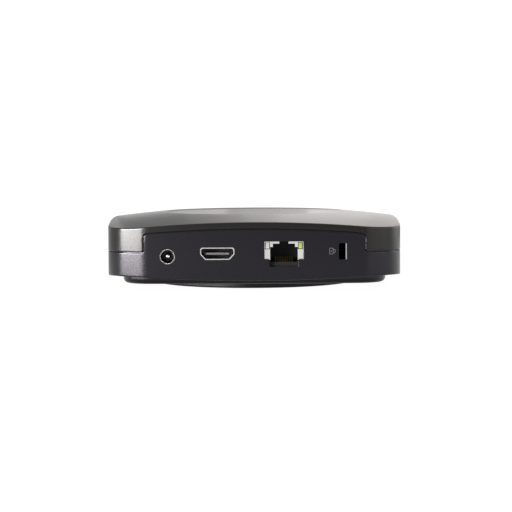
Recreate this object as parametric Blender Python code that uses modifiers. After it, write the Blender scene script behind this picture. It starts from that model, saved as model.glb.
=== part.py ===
"""Streaming media player: a rounded-square, two-shell case on a round rubber foot.

The row frame has its origin at the centre of the foot's underside, +Z up, the
plain front facing -Y and the connector panel facing +Y.  Lengths are in metres.
"""
import math

import bmesh
import bpy
from mathutils import Matrix, Vector

MM = 0.001

# ---------------------------------------------------------------- case sizes
HALF_WIDTH = 65.0 * MM          # middle of a side, from the centre
SIDE_BOW_RADIUS = 700.0 * MM    # the four sides are shallow arcs
CORNER_RADIUS = 19.5 * MM
APEX_HEIGHT = 33.5 * MM         # top of the dome that the roof is cut from
DOME_FALL = 3.9 * MM            # from there to the middle of a side
DISH_RADIUS = 42.0 * MM         # round, nearly flat dish in the middle of the roof
DISH_DEPTH = 0.5 * MM
DISH_LIP = 0.5 * MM
BELLY_HEIGHT = 1.8 * MM         # lowest point of the bowl under the side walls
BELLY_RISE = 2.95 * MM          # from there to the middle of a side
LEDGE_INSET = 6.5 * MM          # the base steps in below the side walls
LEDGE_BOTTOM = 3.1 * MM
LEDGE_EDGE_RADIUS = 2.3 * MM
WALL = 2.4 * MM
ROOF = 2.0 * MM
FLOOR = 2.4 * MM
GAP = 0.3 * MM                  # between pieces that touch on the real object
SEAM_HEIGHT = 16.8 * MM         # where the two shells meet on the front and sides
SEAM_GAP = 0.4 * MM
TONGUE_INSET = 1.4 * MM         # inner lip of the lower shell, inside the cover's skirt
TONGUE_HEIGHT = 2.1 * MM
TAB_SIDE_MARGIN = 1.5 * MM      # the rear tab runs this far past the corners' centres
TAB_DROP = 3.0 * MM             # height of the cover's strip above the rear tab
TAB_FILLET = 1.4 * MM

# ------------------------------------------------------- foot, label, screws
FOOT_OUTER = 45.0 * MM
FOOT_INNER = 36.0 * MM
FOOT_GROOVE = 0.6 * MM          # depth of the groove that the foot is glued into
FOOT_EDGE = 0.7 * MM
LABEL_SIZE = Vector((40.0, 26.0)) * MM
LABEL_PLACE = Vector((0.0, 8.0)) * MM
LABEL_THICKNESS = 0.3 * MM
LABEL_RECESS = 0.5 * MM
SCREW_SHANK = 1.3 * MM          # radius
SCREW_HEAD = 2.7 * MM
SCREW_HEAD_HEIGHT = 1.8 * MM
SCREW_REACH = 14.0 * MM         # shank length
SCREW_HEAD_RECESS = 0.2 * MM
BOSS_RADIUS = 3.7 * MM
VENT_WIDTH = 1.6 * MM
VENT_PITCH = 4.0 * MM
VENT_COUNT = 5
VENT_FIRST_LENGTH = 22.0 * MM
VENT_TAPER = 2.0 * MM           # each slot is shorter than the last by this

# -------------------------------------------------------------------- board
STANDOFF = 3.2 * MM
BOARD_THICKNESS = 1.6 * MM
BOARD_INSET = 6.5 * MM
BOARD_SCREW_INSET = 6.5 * MM    # from the board's edge
BOARD_SCREW_Y = -10.0 * MM
STANDOFF_RADIUS = 3.0 * MM
SINK_CENTRE_Y = -4.0 * MM
SINK_SIZE = 40.0 * MM
SINK_BASE = 2.0 * MM
SINK_EAR_REACH = 26.8 * MM
SINK_EAR_SCREW_X = 23.5 * MM
FIN_COUNT = 9
FIN_PITCH = 4.5 * MM
FIN_THICKNESS = 1.2 * MM
FIN_HEIGHT = 8.0 * MM
PROCESSOR_SIZE = Vector((19.0, 19.0, 1.4)) * MM
PAD_SIZE = Vector((17.0, 17.0, 0.8)) * MM
MEMORY_SIZE = Vector((14.0, 9.0, 1.1)) * MM
MEMORY_X = -35.0 * MM
MEMORY_PITCH = 16.0 * MM
FLASH_SIZE = Vector((11.5, 13.0, 1.0)) * MM
FLASH_PLACE = Vector((34.5, -2.0)) * MM
CRYSTAL_SIZE = Vector((5.0, 3.2, 1.2)) * MM
CRYSTAL_PLACE = Vector((12.0, -29.0)) * MM
CAPACITOR_RADIUS = 4.0 * MM
CAPACITOR_HEIGHT = 9.0 * MM
INDUCTOR_SIZE = Vector((7.0, 7.0, 4.0)) * MM
POWER_PART_INSET = 12.5 * MM    # from the board's side edge to the power parts' centres

# ------------------------------------------------------------ ports, on +Y
PORT_RECESS = 0.6 * MM          # metal mouths stop this far inside the panel's face
DC_PLACE = 0.788                # share of the tab's half width
DC_HEIGHT = 4.75 * MM           # axis above the board
DC_SLEEVE_OUTER = 3.25 * MM
DC_SLEEVE_WALL = 0.45 * MM
DC_SLEEVE_LENGTH = 5.0 * MM
DC_PIN_RADIUS = 1.0 * MM
DC_BODY_SIZE = Vector((9.0, 12.5, 9.0)) * MM
DC_BORE_DEPTH = 10.5 * MM
DC_SPRING_WIDTH = 1.8 * MM
DC_SPRING_THICKNESS = 0.3 * MM
DC_SPRING_BUMP = 0.35 * MM      # how far the leaf stands into the bore
HDMI_PLACE = 0.335
HDMI_LIFT = 3.4 * MM            # shell's underside above the board
HDMI_WIDTH = 14.5 * MM
HDMI_HEIGHT = 5.15 * MM
HDMI_FOOT_WIDTH = 10.3 * MM     # the narrow lower edge
HDMI_CHAMFER_HEIGHT = 2.3 * MM
HDMI_SHELL = 0.35 * MM
HDMI_DEPTH = 12.7 * MM
HDMI_TONGUE = Vector((10.6, 9.8, 1.0)) * MM
HDMI_TONGUE_RECESS = 1.4 * MM
LAN_PLACE = -0.268
LAN_BODY_SIZE = Vector((16.0, 15.4, 11.0)) * MM
LAN_SHIELD = 0.4 * MM
LAN_WALL = 1.5 * MM             # the panel is thinned to this in front of the jack
LAN_CAVITY_DEPTH = 13.0 * MM
LAN_SILL = 1.9 * MM             # cavity floor above the jack's underside
LAN_STEPS = ((5.9 * MM, 8.35 * MM), (4.7 * MM, 9.8 * MM), (1.95 * MM, 10.9 * MM))
LAN_WINDOW_CORNER = 3.2 * MM    # height at which the panel's opening widens
LAN_LAMP_SIZE = Vector((1.4, 9.5, 2.4)) * MM
LAN_LAMP_X = 7.0 * MM
LAN_LAMP_HEIGHT = 8.9 * MM      # lamp centre above the jack's underside
CONTACT_COUNT = 8
CONTACT_PITCH = 1.02 * MM
CONTACT_WIDTH = 0.45 * MM
CONTACT_THICKNESS = 0.35 * MM
CONTACT_RUN = 9.0 * MM
CONTACT_RISE = 2.0 * MM
LOCK_PLACE = -0.80
LOCK_HEIGHT = 17.05 * MM
LOCK_SLOT = Vector((3.1, 7.1)) * MM
LOCK_PLATE_SIZE = Vector((12.0, 1.0, 12.4)) * MM
LOCK_FOOT_DEPTH = 9.0 * MM

# ------------------------------------------------ front window, radio, reset
WINDOW_HALF_WIDTH = 8.0 * MM
WINDOW_HALF_HEIGHT = 2.0 * MM
WINDOW_CORNER = 1.2 * MM
WINDOW_HEIGHT = 12.7 * MM
WINDOW_FLANGE = 1.2 * MM
RECEIVER_SIZE = Vector((5.2, 3.6, 5.6)) * MM
RECEIVER_X = -4.0 * MM
LAMP_SIZE = Vector((1.6, 1.2, 0.8)) * MM
LAMP_X = 4.0 * MM
LIGHT_PIPE_SIZE = Vector((2.0, 3.4, 2.0)) * MM
WIFI_SHIELD_SIZE = Vector((24.0, 18.0, 2.4)) * MM
WIFI_SHIELD_PLACE = Vector((-36.0, -42.0)) * MM
ANTENNA_SIZE = Vector((0.8, 32.0, 7.0)) * MM
ANTENNA_Y = -22.0 * MM
ANTENNA_HEIGHT = 15.5 * MM
LEAD_RADIUS = 0.55 * MM
RESET_PLACE = Vector((0.0, -22.0)) * MM
RESET_CAP = 2.6 * MM
RESET_FLANGE = 3.6 * MM
RESET_TRAVEL = 0.3 * MM
SWITCH_SIZE = Vector((4.6, 4.6, 1.1)) * MM
SWITCH_PLUNGER = 0.9 * MM

# ------------------------------------------------------------ facet counts
CORNER_STEPS = 8
SIDE_STEPS = 7
DOME_STEPS = 48
TAB_STEPS = 12
ROUND_STEPS = 20
SMALL_STEPS = 16
SOFT_EDGE_STEPS = 3

# --------------------------------------------------------- worked-out places
FLOOR_TOP = LEDGE_BOTTOM + FLOOR
BOARD_BOTTOM = FLOOR_TOP + STANDOFF
BOARD_TOP = BOARD_BOTTOM + BOARD_THICKNESS
PART_SEAT = BOARD_TOP + GAP
BOARD_HALF = HALF_WIDTH - BOARD_INSET
SCREW_CIRCLE = (FOOT_OUTER + FOOT_INNER) / 2
SIDE_REACH = SIDE_BOW_RADIUS - HALF_WIDTH   # side arc's centre, beyond the middle
CORNER_SPAN = SIDE_BOW_RADIUS - CORNER_RADIUS
CORNER_CENTRE = (math.sqrt(2 * CORNER_SPAN**2 - SIDE_REACH**2) - SIDE_REACH) / 2
SIDE_TURN = math.atan2(CORNER_CENTRE, CORNER_CENTRE + SIDE_REACH)
TAB_HALF_WIDTH = CORNER_CENTRE + 2 * TAB_SIDE_MARGIN
FAR = 2 * HALF_WIDTH            # past everything, for cutters


def side_distance(across, inset=0.0):
    """Distance from the centre plane to a side wall, at a place along that side."""
    bow = SIDE_BOW_RADIUS - inset
    across = abs(across)
    tangent = bow * math.sin(SIDE_TURN)
    if across <= tangent:
        return math.sqrt(bow**2 - across**2) - SIDE_REACH
    corner = CORNER_RADIUS - inset
    return CORNER_CENTRE + math.sqrt(max(corner**2 - (across - CORNER_CENTRE) ** 2, 0.0))


def dome_height(radius):
    return APEX_HEIGHT - DOME_FALL * (radius / HALF_WIDTH) ** 2


def belly_height(radius):
    return BELLY_HEIGHT + BELLY_RISE * (radius / HALF_WIDTH) ** 2


def case_outline(inset=0.0):
    """Plan of the case moved in by inset: four bowed sides joined by round corners."""
    points = []
    for quarter in range(4):
        facing = quarter * math.pi / 2
        for i in range(SIDE_STEPS):
            angle = facing + SIDE_TURN * (2 * i / SIDE_STEPS - 1)
            bow = SIDE_BOW_RADIUS - inset
            points.append((bow * math.cos(angle) - SIDE_REACH * math.cos(facing),
                           bow * math.sin(angle) - SIDE_REACH * math.sin(facing)))
        diagonal = facing + math.pi / 4
        centre = CORNER_CENTRE * math.sqrt(2)
        for i in range(CORNER_STEPS):
            share = i / CORNER_STEPS
            angle = facing + SIDE_TURN + share * (math.pi / 2 - 2 * SIDE_TURN)
            corner = CORNER_RADIUS - inset
            points.append((centre * math.cos(diagonal) + corner * math.cos(angle),
                           centre * math.sin(diagonal) + corner * math.sin(angle)))
    return points


def fillet(corner, before, after, radius, steps=3):
    """Arc that rounds one corner of a polyline."""
    corner = Vector(corner)
    towards_before = (Vector(before) - corner).normalized()
    towards_after = (Vector(after) - corner).normalized()
    half = towards_before.angle(towards_after) / 2
    middle = (towards_before + towards_after).normalized()
    centre = corner + middle * (radius / math.sin(half))
    start = corner + towards_before * (radius / math.tan(half)) - centre
    end = corner + towards_after * (radius / math.tan(half)) - centre
    first = math.atan2(start.y, start.x)
    sweep = math.remainder(math.atan2(end.y, end.x) - first, 2 * math.pi)
    turns = [first + sweep * i / steps for i in range(steps + 1)]
    return [(centre.x + radius * math.cos(turn), centre.y + radius * math.sin(turn)) for turn in turns]


def rounded_box_outline(half_width, half_height, radius, steps=3):
    corners = [(-half_width, -half_height), (half_width, -half_height),
               (half_width, half_height), (-half_width, half_height)]
    points = []
    for i, corner in enumerate(corners):
        points += fillet(corner, corners[i - 1], corners[(i + 1) % 4], radius, steps)
    return points


# ------------------------------------------------------------ Blender helpers
def clear_scene():
    for thing in list(bpy.data.objects):
        bpy.data.objects.remove(thing)


def new_collection(name):
    collection = bpy.data.collections.new(name)
    bpy.context.scene.collection.children.link(collection)
    return collection


clear_scene()
PARTS = new_collection("streaming_media_player")
CUTTERS = new_collection("cutters")


def plastic(name, colour, roughness=0.45, metallic=0.0):
    material = bpy.data.materials.new(name)
    material.use_nodes = True
    shader = material.node_tree.nodes["Principled BSDF"]
    shader.inputs["Base Color"].default_value = (*colour, 1.0)
    shader.inputs["Roughness"].default_value = roughness
    shader.inputs["Metallic"].default_value = metallic
    return material


CASE_GREY = plastic("case_grey", (0.050, 0.048, 0.050), 0.38)
PANEL_GREY = plastic("panel_grey", (0.034, 0.034, 0.040), 0.55)
RUBBER = plastic("rubber", (0.012, 0.012, 0.013), 0.35)
PAPER = plastic("label_white", (0.72, 0.72, 0.70), 0.6)
STEEL = plastic("steel", (0.62, 0.62, 0.63), 0.3, 1.0)
TIN = plastic("tin_plate", (0.78, 0.78, 0.78), 0.28, 1.0)
GOLD = plastic("gold_plate", (0.85, 0.62, 0.25), 0.25, 1.0)
ALUMINIUM = plastic("aluminium", (0.60, 0.61, 0.62), 0.35, 1.0)
BOARD_GREEN = plastic("board_green", (0.012, 0.075, 0.032), 0.4)
CHIP_BLACK = plastic("chip_black", (0.015, 0.015, 0.016), 0.5)
PAD_BLUE = plastic("pad_blue", (0.25, 0.36, 0.48), 0.8)
JACK_BLACK = plastic("jack_black", (0.010, 0.010, 0.010), 0.4)
LAMP_CLEAR = plastic("lamp_clear", (0.85, 0.86, 0.84), 0.2)
LAMP_GREEN = plastic("lamp_green", (0.55, 0.70, 0.05), 0.2)
SMOKED = plastic("smoked_window", (0.010, 0.008, 0.010), 0.08)
SLEEVE_BLUE = plastic("capacitor_sleeve", (0.02, 0.03, 0.08), 0.4)


def finished(thing, name, material, smooth=None):
    """Names a piece, moves it into the parts' collection and gives it its material."""
    thing.name = name
    thing.data.name = name
    thing.data.materials.clear()
    thing.data.materials.append(material)
    for collection in list(thing.users_collection):
        collection.objects.unlink(thing)
    PARTS.objects.link(thing)
    thing.hide_render = False
    thing.display_type = "TEXTURED"
    if smooth is not None:
        thing.data.shade_smooth()
        thing.data.set_sharp_from_angle(angle=math.radians(smooth))
    return thing


def helper(name, data):
    """A shape in the cutters' collection, until it is finished as a piece."""
    thing = bpy.data.objects.new(name, data)
    CUTTERS.objects.link(thing)
    thing.hide_render = True
    thing.display_type = "WIRE"
    return thing


def mesh_of(name, fill):
    """A helper whose mesh is made by fill(bm)."""
    data = bpy.data.meshes.new(name)
    bm = bmesh.new()
    fill(bm)
    bm.to_mesh(data)
    bm.free()
    return helper(name, data)


def box(name, low, high):
    """A box between two corners, with its origin at its centre."""
    low, high = Vector(low), Vector(high)

    def fill(bm):
        bmesh.ops.create_cube(bm, size=1.0)
        bmesh.ops.scale(bm, vec=high - low, verts=bm.verts)

    thing = mesh_of(name, fill)
    thing.location = (low + high) / 2
    return thing


def seated_box(name, place, size, seat):
    """A box of that size whose underside is at height seat."""
    low = Vector((place[0] - size.x / 2, place[1] - size.y / 2, seat))
    return box(name, low, low + size)


def rod(name, start, end, radius, steps=SMALL_STEPS, end_radius=None):
    """A round bar or cone between two points."""
    start, end = Vector(start), Vector(end)
    end_radius = radius if end_radius is None else end_radius

    def fill(bm):
        bmesh.ops.create_cone(bm, cap_ends=True, segments=steps, radius1=radius,
                              radius2=end_radius, depth=(end - start).length)

    thing = mesh_of(name, fill)
    thing.location = (start + end) / 2
    thing.rotation_euler = (end - start).to_track_quat("Z", "Y").to_euler()
    return thing


def settle(curve_thing):
    """The mesh of a curve object, with its caps welded on; the curve is removed."""
    bpy.context.view_layer.update()
    graph = bpy.context.evaluated_depsgraph_get()
    data = bpy.data.meshes.new_from_object(curve_thing.evaluated_get(graph))
    bm = bmesh.new()
    bm.from_mesh(data)
    bmesh.ops.remove_doubles(bm, verts=bm.verts, dist=1e-6)
    bmesh.ops.recalc_face_normals(bm, faces=bm.faces)
    bm.to_mesh(data)
    bm.free()
    thing = helper(curve_thing.name, data)
    thing.matrix_world = curve_thing.matrix_world
    bpy.data.objects.remove(curve_thing)
    return thing


PLANES = {"XY": (0.0, 0.0, 0.0), "XZ": (math.pi / 2, 0.0, 0.0),
          "YZ": (math.pi / 2, 0.0, math.pi / 2)}


def slab(name, outline, low, high, plane="XY"):
    """A flat outline drawn in a plane and thickened from low to high across it."""
    data = bpy.data.curves.new(name, "CURVE")
    data.dimensions = "2D"
    data.fill_mode = "BOTH"
    data.extrude = (high - low) / 2
    spline = data.splines.new("POLY")
    spline.points.add(len(outline) - 1)
    for point, (u, v) in zip(spline.points, outline):
        point.co = (u, v, 0.0, 1.0)
    spline.use_cyclic_u = True
    thing = helper(name, data)
    thing.rotation_euler = PLANES[plane]
    across = {"XY": 2, "XZ": 1, "YZ": 0}[plane]
    thing.location[across] = (low + high) / 2
    return settle(thing)


def turned(name, profile, steps=DOME_STEPS, closed=False):
    """A profile of (radius, height) points, listed down its outer side, turned about Z."""
    def fill(bm):
        verts = [bm.verts.new((radius, 0.0, height)) for radius, height in profile]
        for a, b in zip(verts, verts[1:]):
            bm.edges.new((a, b))
        if closed:
            bm.edges.new((verts[-1], verts[0]))

    thing = mesh_of(name, fill)
    screw = thing.modifiers.new("turn", "SCREW")
    screw.steps = screw.render_steps = steps
    screw.use_merge_vertices = True
    screw.merge_threshold = 1e-6
    screw.use_smooth_shade = False
    return thing


def combine(thing, other, operation):
    modifier = thing.modifiers.new(f"{operation.lower()}_{other.name}"[:60], "BOOLEAN")
    modifier.operation = operation
    modifier.object = other
    modifier.solver = "EXACT"
    return thing


def cut(thing, *tools):
    for tool in tools:
        combine(thing, tool, "DIFFERENCE")
    return thing


def join(thing, *others):
    for other in others:
        combine(thing, other, "UNION")
    return thing


def common(thing, other):
    return combine(thing, other, "INTERSECT")


def bevel_rim(thing, height, radius):
    """Rounds the edges of a settled slab that lie at one local height."""
    bm = bmesh.new()
    bm.from_mesh(thing.data)
    rim = [edge for edge in bm.edges
           if all(abs(vert.co.z - height) < 1e-6 for vert in edge.verts)
           and any(abs(face.normal.z) < 0.5 for face in edge.link_faces)]
    bmesh.ops.bevel(bm, geom=rim, offset=radius, segments=SOFT_EDGE_STEPS,
                    profile=0.5, affect="EDGES")
    bm.to_mesh(thing.data)
    bm.free()


def on_pivot(thing, pivot):
    """Moves a static piece's origin to its joint's axis without moving its shape."""
    bpy.context.view_layer.update()
    thing.data.transform(thing.matrix_world)
    thing.data.transform(Matrix.Translation(-Vector(pivot)))
    thing.rotation_euler = (0.0, 0.0, 0.0)
    thing.location = pivot
    return thing


# ------------------------------------------------------------------- places
def corner_places(radius):
    """Four places on the diagonals, at a distance from the centre."""
    reach = radius / math.sqrt(2)
    return [(sx * reach, sy * reach) for sx, sy in ((1, 1), (-1, 1), (-1, -1), (1, -1))]


CASE_SCREW_PLACES = corner_places(SCREW_CIRCLE)
BOARD_SCREW_PLACES = [(side * (BOARD_HALF - BOARD_SCREW_INSET), BOARD_SCREW_Y)
                      for side in (1, -1)]
SINK_SCREW_PLACES = [(side * SINK_EAR_SCREW_X, SINK_CENTRE_Y) for side in (1, -1)]

DC_X = DC_PLACE * TAB_HALF_WIDTH
DC_Z = BOARD_TOP + DC_HEIGHT
DC_MOUTH = side_distance(DC_X) - PORT_RECESS
DC_FRONT = side_distance(abs(DC_X) + DC_BODY_SIZE.x / 2, WALL) - GAP
DC_BACK = DC_FRONT - DC_BODY_SIZE.y
DC_BORE = DC_SLEEVE_OUTER - DC_SLEEVE_WALL
DC_BORE_END = DC_FRONT - DC_BORE_DEPTH

HDMI_X = HDMI_PLACE * TAB_HALF_WIDTH
HDMI_Z = BOARD_TOP + HDMI_LIFT
HDMI_MOUTH = side_distance(abs(HDMI_X) + HDMI_WIDTH / 2) - PORT_RECESS
HDMI_BACK = HDMI_MOUTH - HDMI_DEPTH

LAN_X = LAN_PLACE * TAB_HALF_WIDTH
LAN_Z = PART_SEAT
LAN_SHIELD_HALF = LAN_BODY_SIZE.x / 2 + GAP + LAN_SHIELD
LAN_POCKET_HALF = LAN_SHIELD_HALF + GAP
LAN_POCKET_FACE = side_distance(abs(LAN_X) + LAN_POCKET_HALF) - LAN_WALL
LAN_FACE = LAN_POCKET_FACE - GAP               # front of the metal shield
LAN_FRONT = LAN_FACE - LAN_SHIELD - GAP        # front of the plastic body
LAN_BACK = LAN_FRONT - LAN_BODY_SIZE.y
LAN_TOP = LAN_Z + LAN_BODY_SIZE.z
LAN_FLOOR = LAN_Z + LAN_SILL

LOCK_X = LOCK_PLACE * TAB_HALF_WIDTH
LOCK_FACE = side_distance(abs(LOCK_X) + LOCK_PLATE_SIZE.x / 2, WALL) - GAP

FRONT_INNER = -side_distance(WINDOW_HALF_WIDTH + WINDOW_FLANGE, WALL)
FRONT_OUTER = -side_distance(WINDOW_HALF_WIDTH)


# --------------------------------------------------------------------- case
def tab_outline(grow):
    """The raised rear panel seen from behind, open below the seam, grown by a margin."""
    half = TAB_HALF_WIDTH + grow
    seam = SEAM_HEIGHT - SEAM_GAP / 2 + grow

    def top(x):
        return dome_height(math.hypot(x, side_distance(x))) - TAB_DROP + grow

    across = [half * (1 - 2 * i / TAB_STEPS) for i in range(TAB_STEPS + 1)]
    arch = [(x, top(x)) for x in across]
    right, left = arch[0], arch[-1]
    points = fillet((half, seam), (FAR, seam), right, TAB_FILLET)
    points += fillet(right, (half, seam), arch[1], TAB_FILLET)
    points += [p for p in arch[1:-1] if abs(p[0]) < half - 2 * TAB_FILLET]
    points += fillet(left, arch[-2], (-half, seam), TAB_FILLET)
    points += fillet((-half, seam), left, (-FAR, seam), TAB_FILLET)
    return points, seam


def hdmi_outline(grow):
    """HDMI shell section in the XZ plane: a flat hexagon, narrow side down."""
    half, foot = HDMI_WIDTH / 2 + grow, HDMI_FOOT_WIDTH / 2 + grow * 0.6
    low, high = HDMI_Z - grow, HDMI_Z + HDMI_HEIGHT + grow
    knee = HDMI_Z + HDMI_CHAMFER_HEIGHT - grow * 0.4
    nick = 0.6 * MM
    return [(HDMI_X - foot, low), (HDMI_X + foot, low), (HDMI_X + half, knee),
            (HDMI_X + half, high - nick), (HDMI_X + half - nick, high),
            (HDMI_X - half + nick, high), (HDMI_X - half, high - nick),
            (HDMI_X - half, knee)]


def lan_opening(grow=0.0, low=LAN_FLOOR, full=None):
    """Stepped mouth for an 8-way modular plug, latch side up."""
    right = [(LAN_X + LAN_STEPS[0][0] + grow, low)]
    for i, (half, height) in enumerate(LAN_STEPS):
        top = LAN_Z + height + grow
        if full is not None and i == len(LAN_STEPS) - 1:
            top = full
        right.append((LAN_X + half + grow, top))
        if i + 1 < len(LAN_STEPS):
            right.append((LAN_X + LAN_STEPS[i + 1][0] + grow, top))
    left = [(2 * LAN_X - x, z) for x, z in reversed(right)]
    return right + left


def panel_opening_for_lan():
    """The tab's opening: wide beside the lamps, narrower below them."""
    narrow, wide = LAN_STEPS[0][0] + GAP, LAN_SHIELD_HALF - LAN_SHIELD
    low, top = LAN_Z, LAN_Z + LAN_STEPS[2][1] - GAP / 3
    knee = LAN_Z + LAN_WINDOW_CORNER
    return [(LAN_X - narrow, low), (LAN_X + narrow, low), (LAN_X + narrow, knee),
            (LAN_X + wide, knee), (LAN_X + wide, top), (LAN_X - wide, top),
            (LAN_X - wide, knee), (LAN_X - narrow, knee)]


def dome_profile(drop, dished):
    """Turned solid below the roof's outer surface, or below it by drop."""
    rim = dome_height(DISH_RADIUS)
    flat = rim - DISH_DEPTH - drop
    if dished:
        points = [(0.0, flat), (DISH_RADIUS - DISH_LIP, flat), (DISH_RADIUS, rim)]
        start = DISH_RADIUS
    else:
        start = HALF_WIDTH * math.sqrt((APEX_HEIGHT - drop - flat) / DOME_FALL)
        points = [(0.0, flat), (start, flat)]
    end = 1.5 * HALF_WIDTH
    rings = 4
    for i in range(1, rings + 1):
        radius = start + (end - start) * i / rings
        points.append((radius, dome_height(radius) - drop))
    return points + [(end, 0.0), (0.0, 0.0)]


def belly_profile(lift):
    """Turned solid above the curved underside, raised by lift."""
    end = 1.5 * HALF_WIDTH
    rings = 4
    start = HALF_WIDTH - LEDGE_INSET - 2 * WALL
    top = APEX_HEIGHT + WALL
    points = [(0.0, top), (end, top)]
    for i in range(rings + 1):
        radius = end + (start - end) * i / rings
        points.append((radius, belly_height(radius) + lift))
    return points + [(0.0, belly_height(start) + lift)]


def make_top_cover():
    cover = slab("top_cover", case_outline(), SEAM_HEIGHT + SEAM_GAP / 2, APEX_HEIGHT)
    common(cover, turned("dome", dome_profile(0.0, True)))
    cavity = slab("cover_cavity", case_outline(WALL), SEAM_HEIGHT - WALL, APEX_HEIGHT)
    common(cavity, turned("ceiling", dome_profile(ROOF, False)))
    pocket = slab("skirt_pocket", case_outline(TONGUE_INSET - GAP), SEAM_HEIGHT - WALL,
                  SEAM_HEIGHT + TONGUE_HEIGHT + GAP)
    outline, seam = tab_outline(SEAM_GAP)
    notch = [(FAR, SEAM_HEIGHT - WALL)] + outline + [(-FAR, SEAM_HEIGHT - WALL)]
    notch = slab("rear_notch", notch, CORNER_CENTRE, FAR, "XZ")
    cut(cover, cavity, pocket, notch)
    for i, (x, y) in enumerate(CASE_SCREW_PLACES):
        top = dome_height(DISH_RADIUS) - DISH_DEPTH - ROOF / 2
        join(cover, rod(f"cover_boss_{i}", (x, y, PART_SEAT), (x, y, top), BOSS_RADIUS))
        bore_top = SCREW_HEAD_HEIGHT + SCREW_REACH + FLOOR_TOP
        cut(cover, rod(f"cover_bore_{i}", (x, y, 0.0), (x, y, bore_top), SCREW_SHANK + GAP))
    return finished(cover, "top_cover", CASE_GREY, 30)


def make_bottom_housing():
    housing = slab("bottom_housing", case_outline(), 0.0, APEX_HEIGHT - ROOF)
    common(housing, turned("belly", belly_profile(0.0)))
    ledge = slab("ledge", case_outline(LEDGE_INSET), LEDGE_BOTTOM,
                 belly_height(HALF_WIDTH) + 2 * WALL)
    bevel_rim(ledge, min(v.co.z for v in ledge.data.vertices), LEDGE_EDGE_RADIUS)
    join(housing, ledge)

    cavity = slab("housing_cavity", case_outline(WALL), 0.0, FAR)
    common(cavity, turned("belly_inside", belly_profile(FLOOR)))
    well = slab("housing_well", case_outline(LEDGE_INSET + WALL), FLOOR_TOP, FAR)
    cut(housing, cavity, well)

    seam = SEAM_HEIGHT - SEAM_GAP / 2
    split = box("above_seam", (-FAR, -FAR, seam), (FAR, CORNER_CENTRE + TAB_FILLET, FAR))
    tongue = slab("tongue", case_outline(TONGUE_INSET), 0.0, seam + TONGUE_HEIGHT)
    cut(split, tongue)
    outline, seam = tab_outline(0.0)
    above = [(FAR, seam)] + outline + [(-FAR, seam), (-FAR, FAR), (FAR, FAR)]
    above = slab("above_tab", above, CORNER_CENTRE, FAR, "XZ")
    cut(housing, split, above)

    cut_ports(housing)
    add_underside(housing)
    return finished(housing, "bottom_housing", PANEL_GREY, 30)


def cut_ports(housing):
    """Openings in the rear tab, and the smoked window's opening in the front."""
    inside = CORNER_CENTRE
    jack_hole = rod("dc_hole", (DC_X, inside, DC_Z), (DC_X, FAR, DC_Z),
                    DC_SLEEVE_OUTER + GAP, ROUND_STEPS)
    hdmi_hole = slab("hdmi_hole", hdmi_outline(GAP), inside, FAR, "XZ")
    lan_hole = slab("lan_hole", panel_opening_for_lan(), inside, FAR, "XZ")
    lan_pocket = box("lan_pocket", (LAN_X - LAN_POCKET_HALF, inside, BOARD_BOTTOM),
                     (LAN_X + LAN_POCKET_HALF, LAN_POCKET_FACE, LAN_TOP + 4 * GAP))
    slot = box("lock_slot",
               (LOCK_X - LOCK_SLOT.x / 2, inside, LOCK_HEIGHT - LOCK_SLOT.y / 2),
               (LOCK_X + LOCK_SLOT.x / 2, FAR, LOCK_HEIGHT + LOCK_SLOT.y / 2))
    window = rounded_box_outline(WINDOW_HALF_WIDTH, WINDOW_HALF_HEIGHT, WINDOW_CORNER)
    window = [(x, z + WINDOW_HEIGHT) for x, z in window]
    window_hole = slab("window_hole", window, -FAR, -CORNER_CENTRE, "XZ")
    cut(housing, jack_hole, hdmi_hole, lan_pocket, lan_hole, slot, window_hole)


def add_underside(housing):
    """Bosses and standoffs inside; foot groove, screw, vent and label recesses below."""
    for i, (x, y) in enumerate(CASE_SCREW_PLACES):
        join(housing, rod(f"boss_{i}", (x, y, FLOOR_TOP - FLOOR / 2),
                          (x, y, BOARD_BOTTOM - GAP), BOSS_RADIUS))
    for i, (x, y) in enumerate(BOARD_SCREW_PLACES):
        join(housing, rod(f"standoff_{i}", (x, y, FLOOR_TOP - FLOOR / 2),
                          (x, y, BOARD_BOTTOM - GAP), STANDOFF_RADIUS))
        cut(housing, rod(f"standoff_bore_{i}", (x, y, FLOOR_TOP - FLOOR / 4),
                         (x, y, FAR), SCREW_SHANK + GAP))
    groove_top = LEDGE_BOTTOM + FOOT_GROOVE
    cut(housing, turned("foot_groove", [
        (FOOT_OUTER + GAP, groove_top), (FOOT_OUTER + GAP, 0.0),
        (FOOT_INNER - GAP, 0.0), (FOOT_INNER - GAP, groove_top)], closed=True))
    head_top = groove_top + SCREW_HEAD_RECESS + SCREW_HEAD_HEIGHT + GAP
    for i, (x, y) in enumerate(CASE_SCREW_PLACES):
        cut(housing, rod(f"head_bore_{i}", (x, y, 0.0), (x, y, head_top), SCREW_HEAD + GAP))
        cut(housing, rod(f"shank_bore_{i}", (x, y, 0.0), (x, y, FAR), SCREW_SHANK + GAP))
    for corner in range(4):
        angle = math.pi / 4 + corner * math.pi / 2
        for i in range(VENT_COUNT):
            cut(housing, vent_cutter(corner, i, angle))
    half = LABEL_SIZE / 2 + Vector((GAP, GAP))
    cut(housing, box("label_recess",
                     (*(LABEL_PLACE - half), 0.0),
                     (*(LABEL_PLACE + half), LEDGE_BOTTOM + LABEL_RECESS)))
    cut(housing, rod("reset_hole", (*RESET_PLACE, 0.0), (*RESET_PLACE, FLOOR_TOP + FLOOR),
                     RESET_CAP + GAP, ROUND_STEPS))


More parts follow.
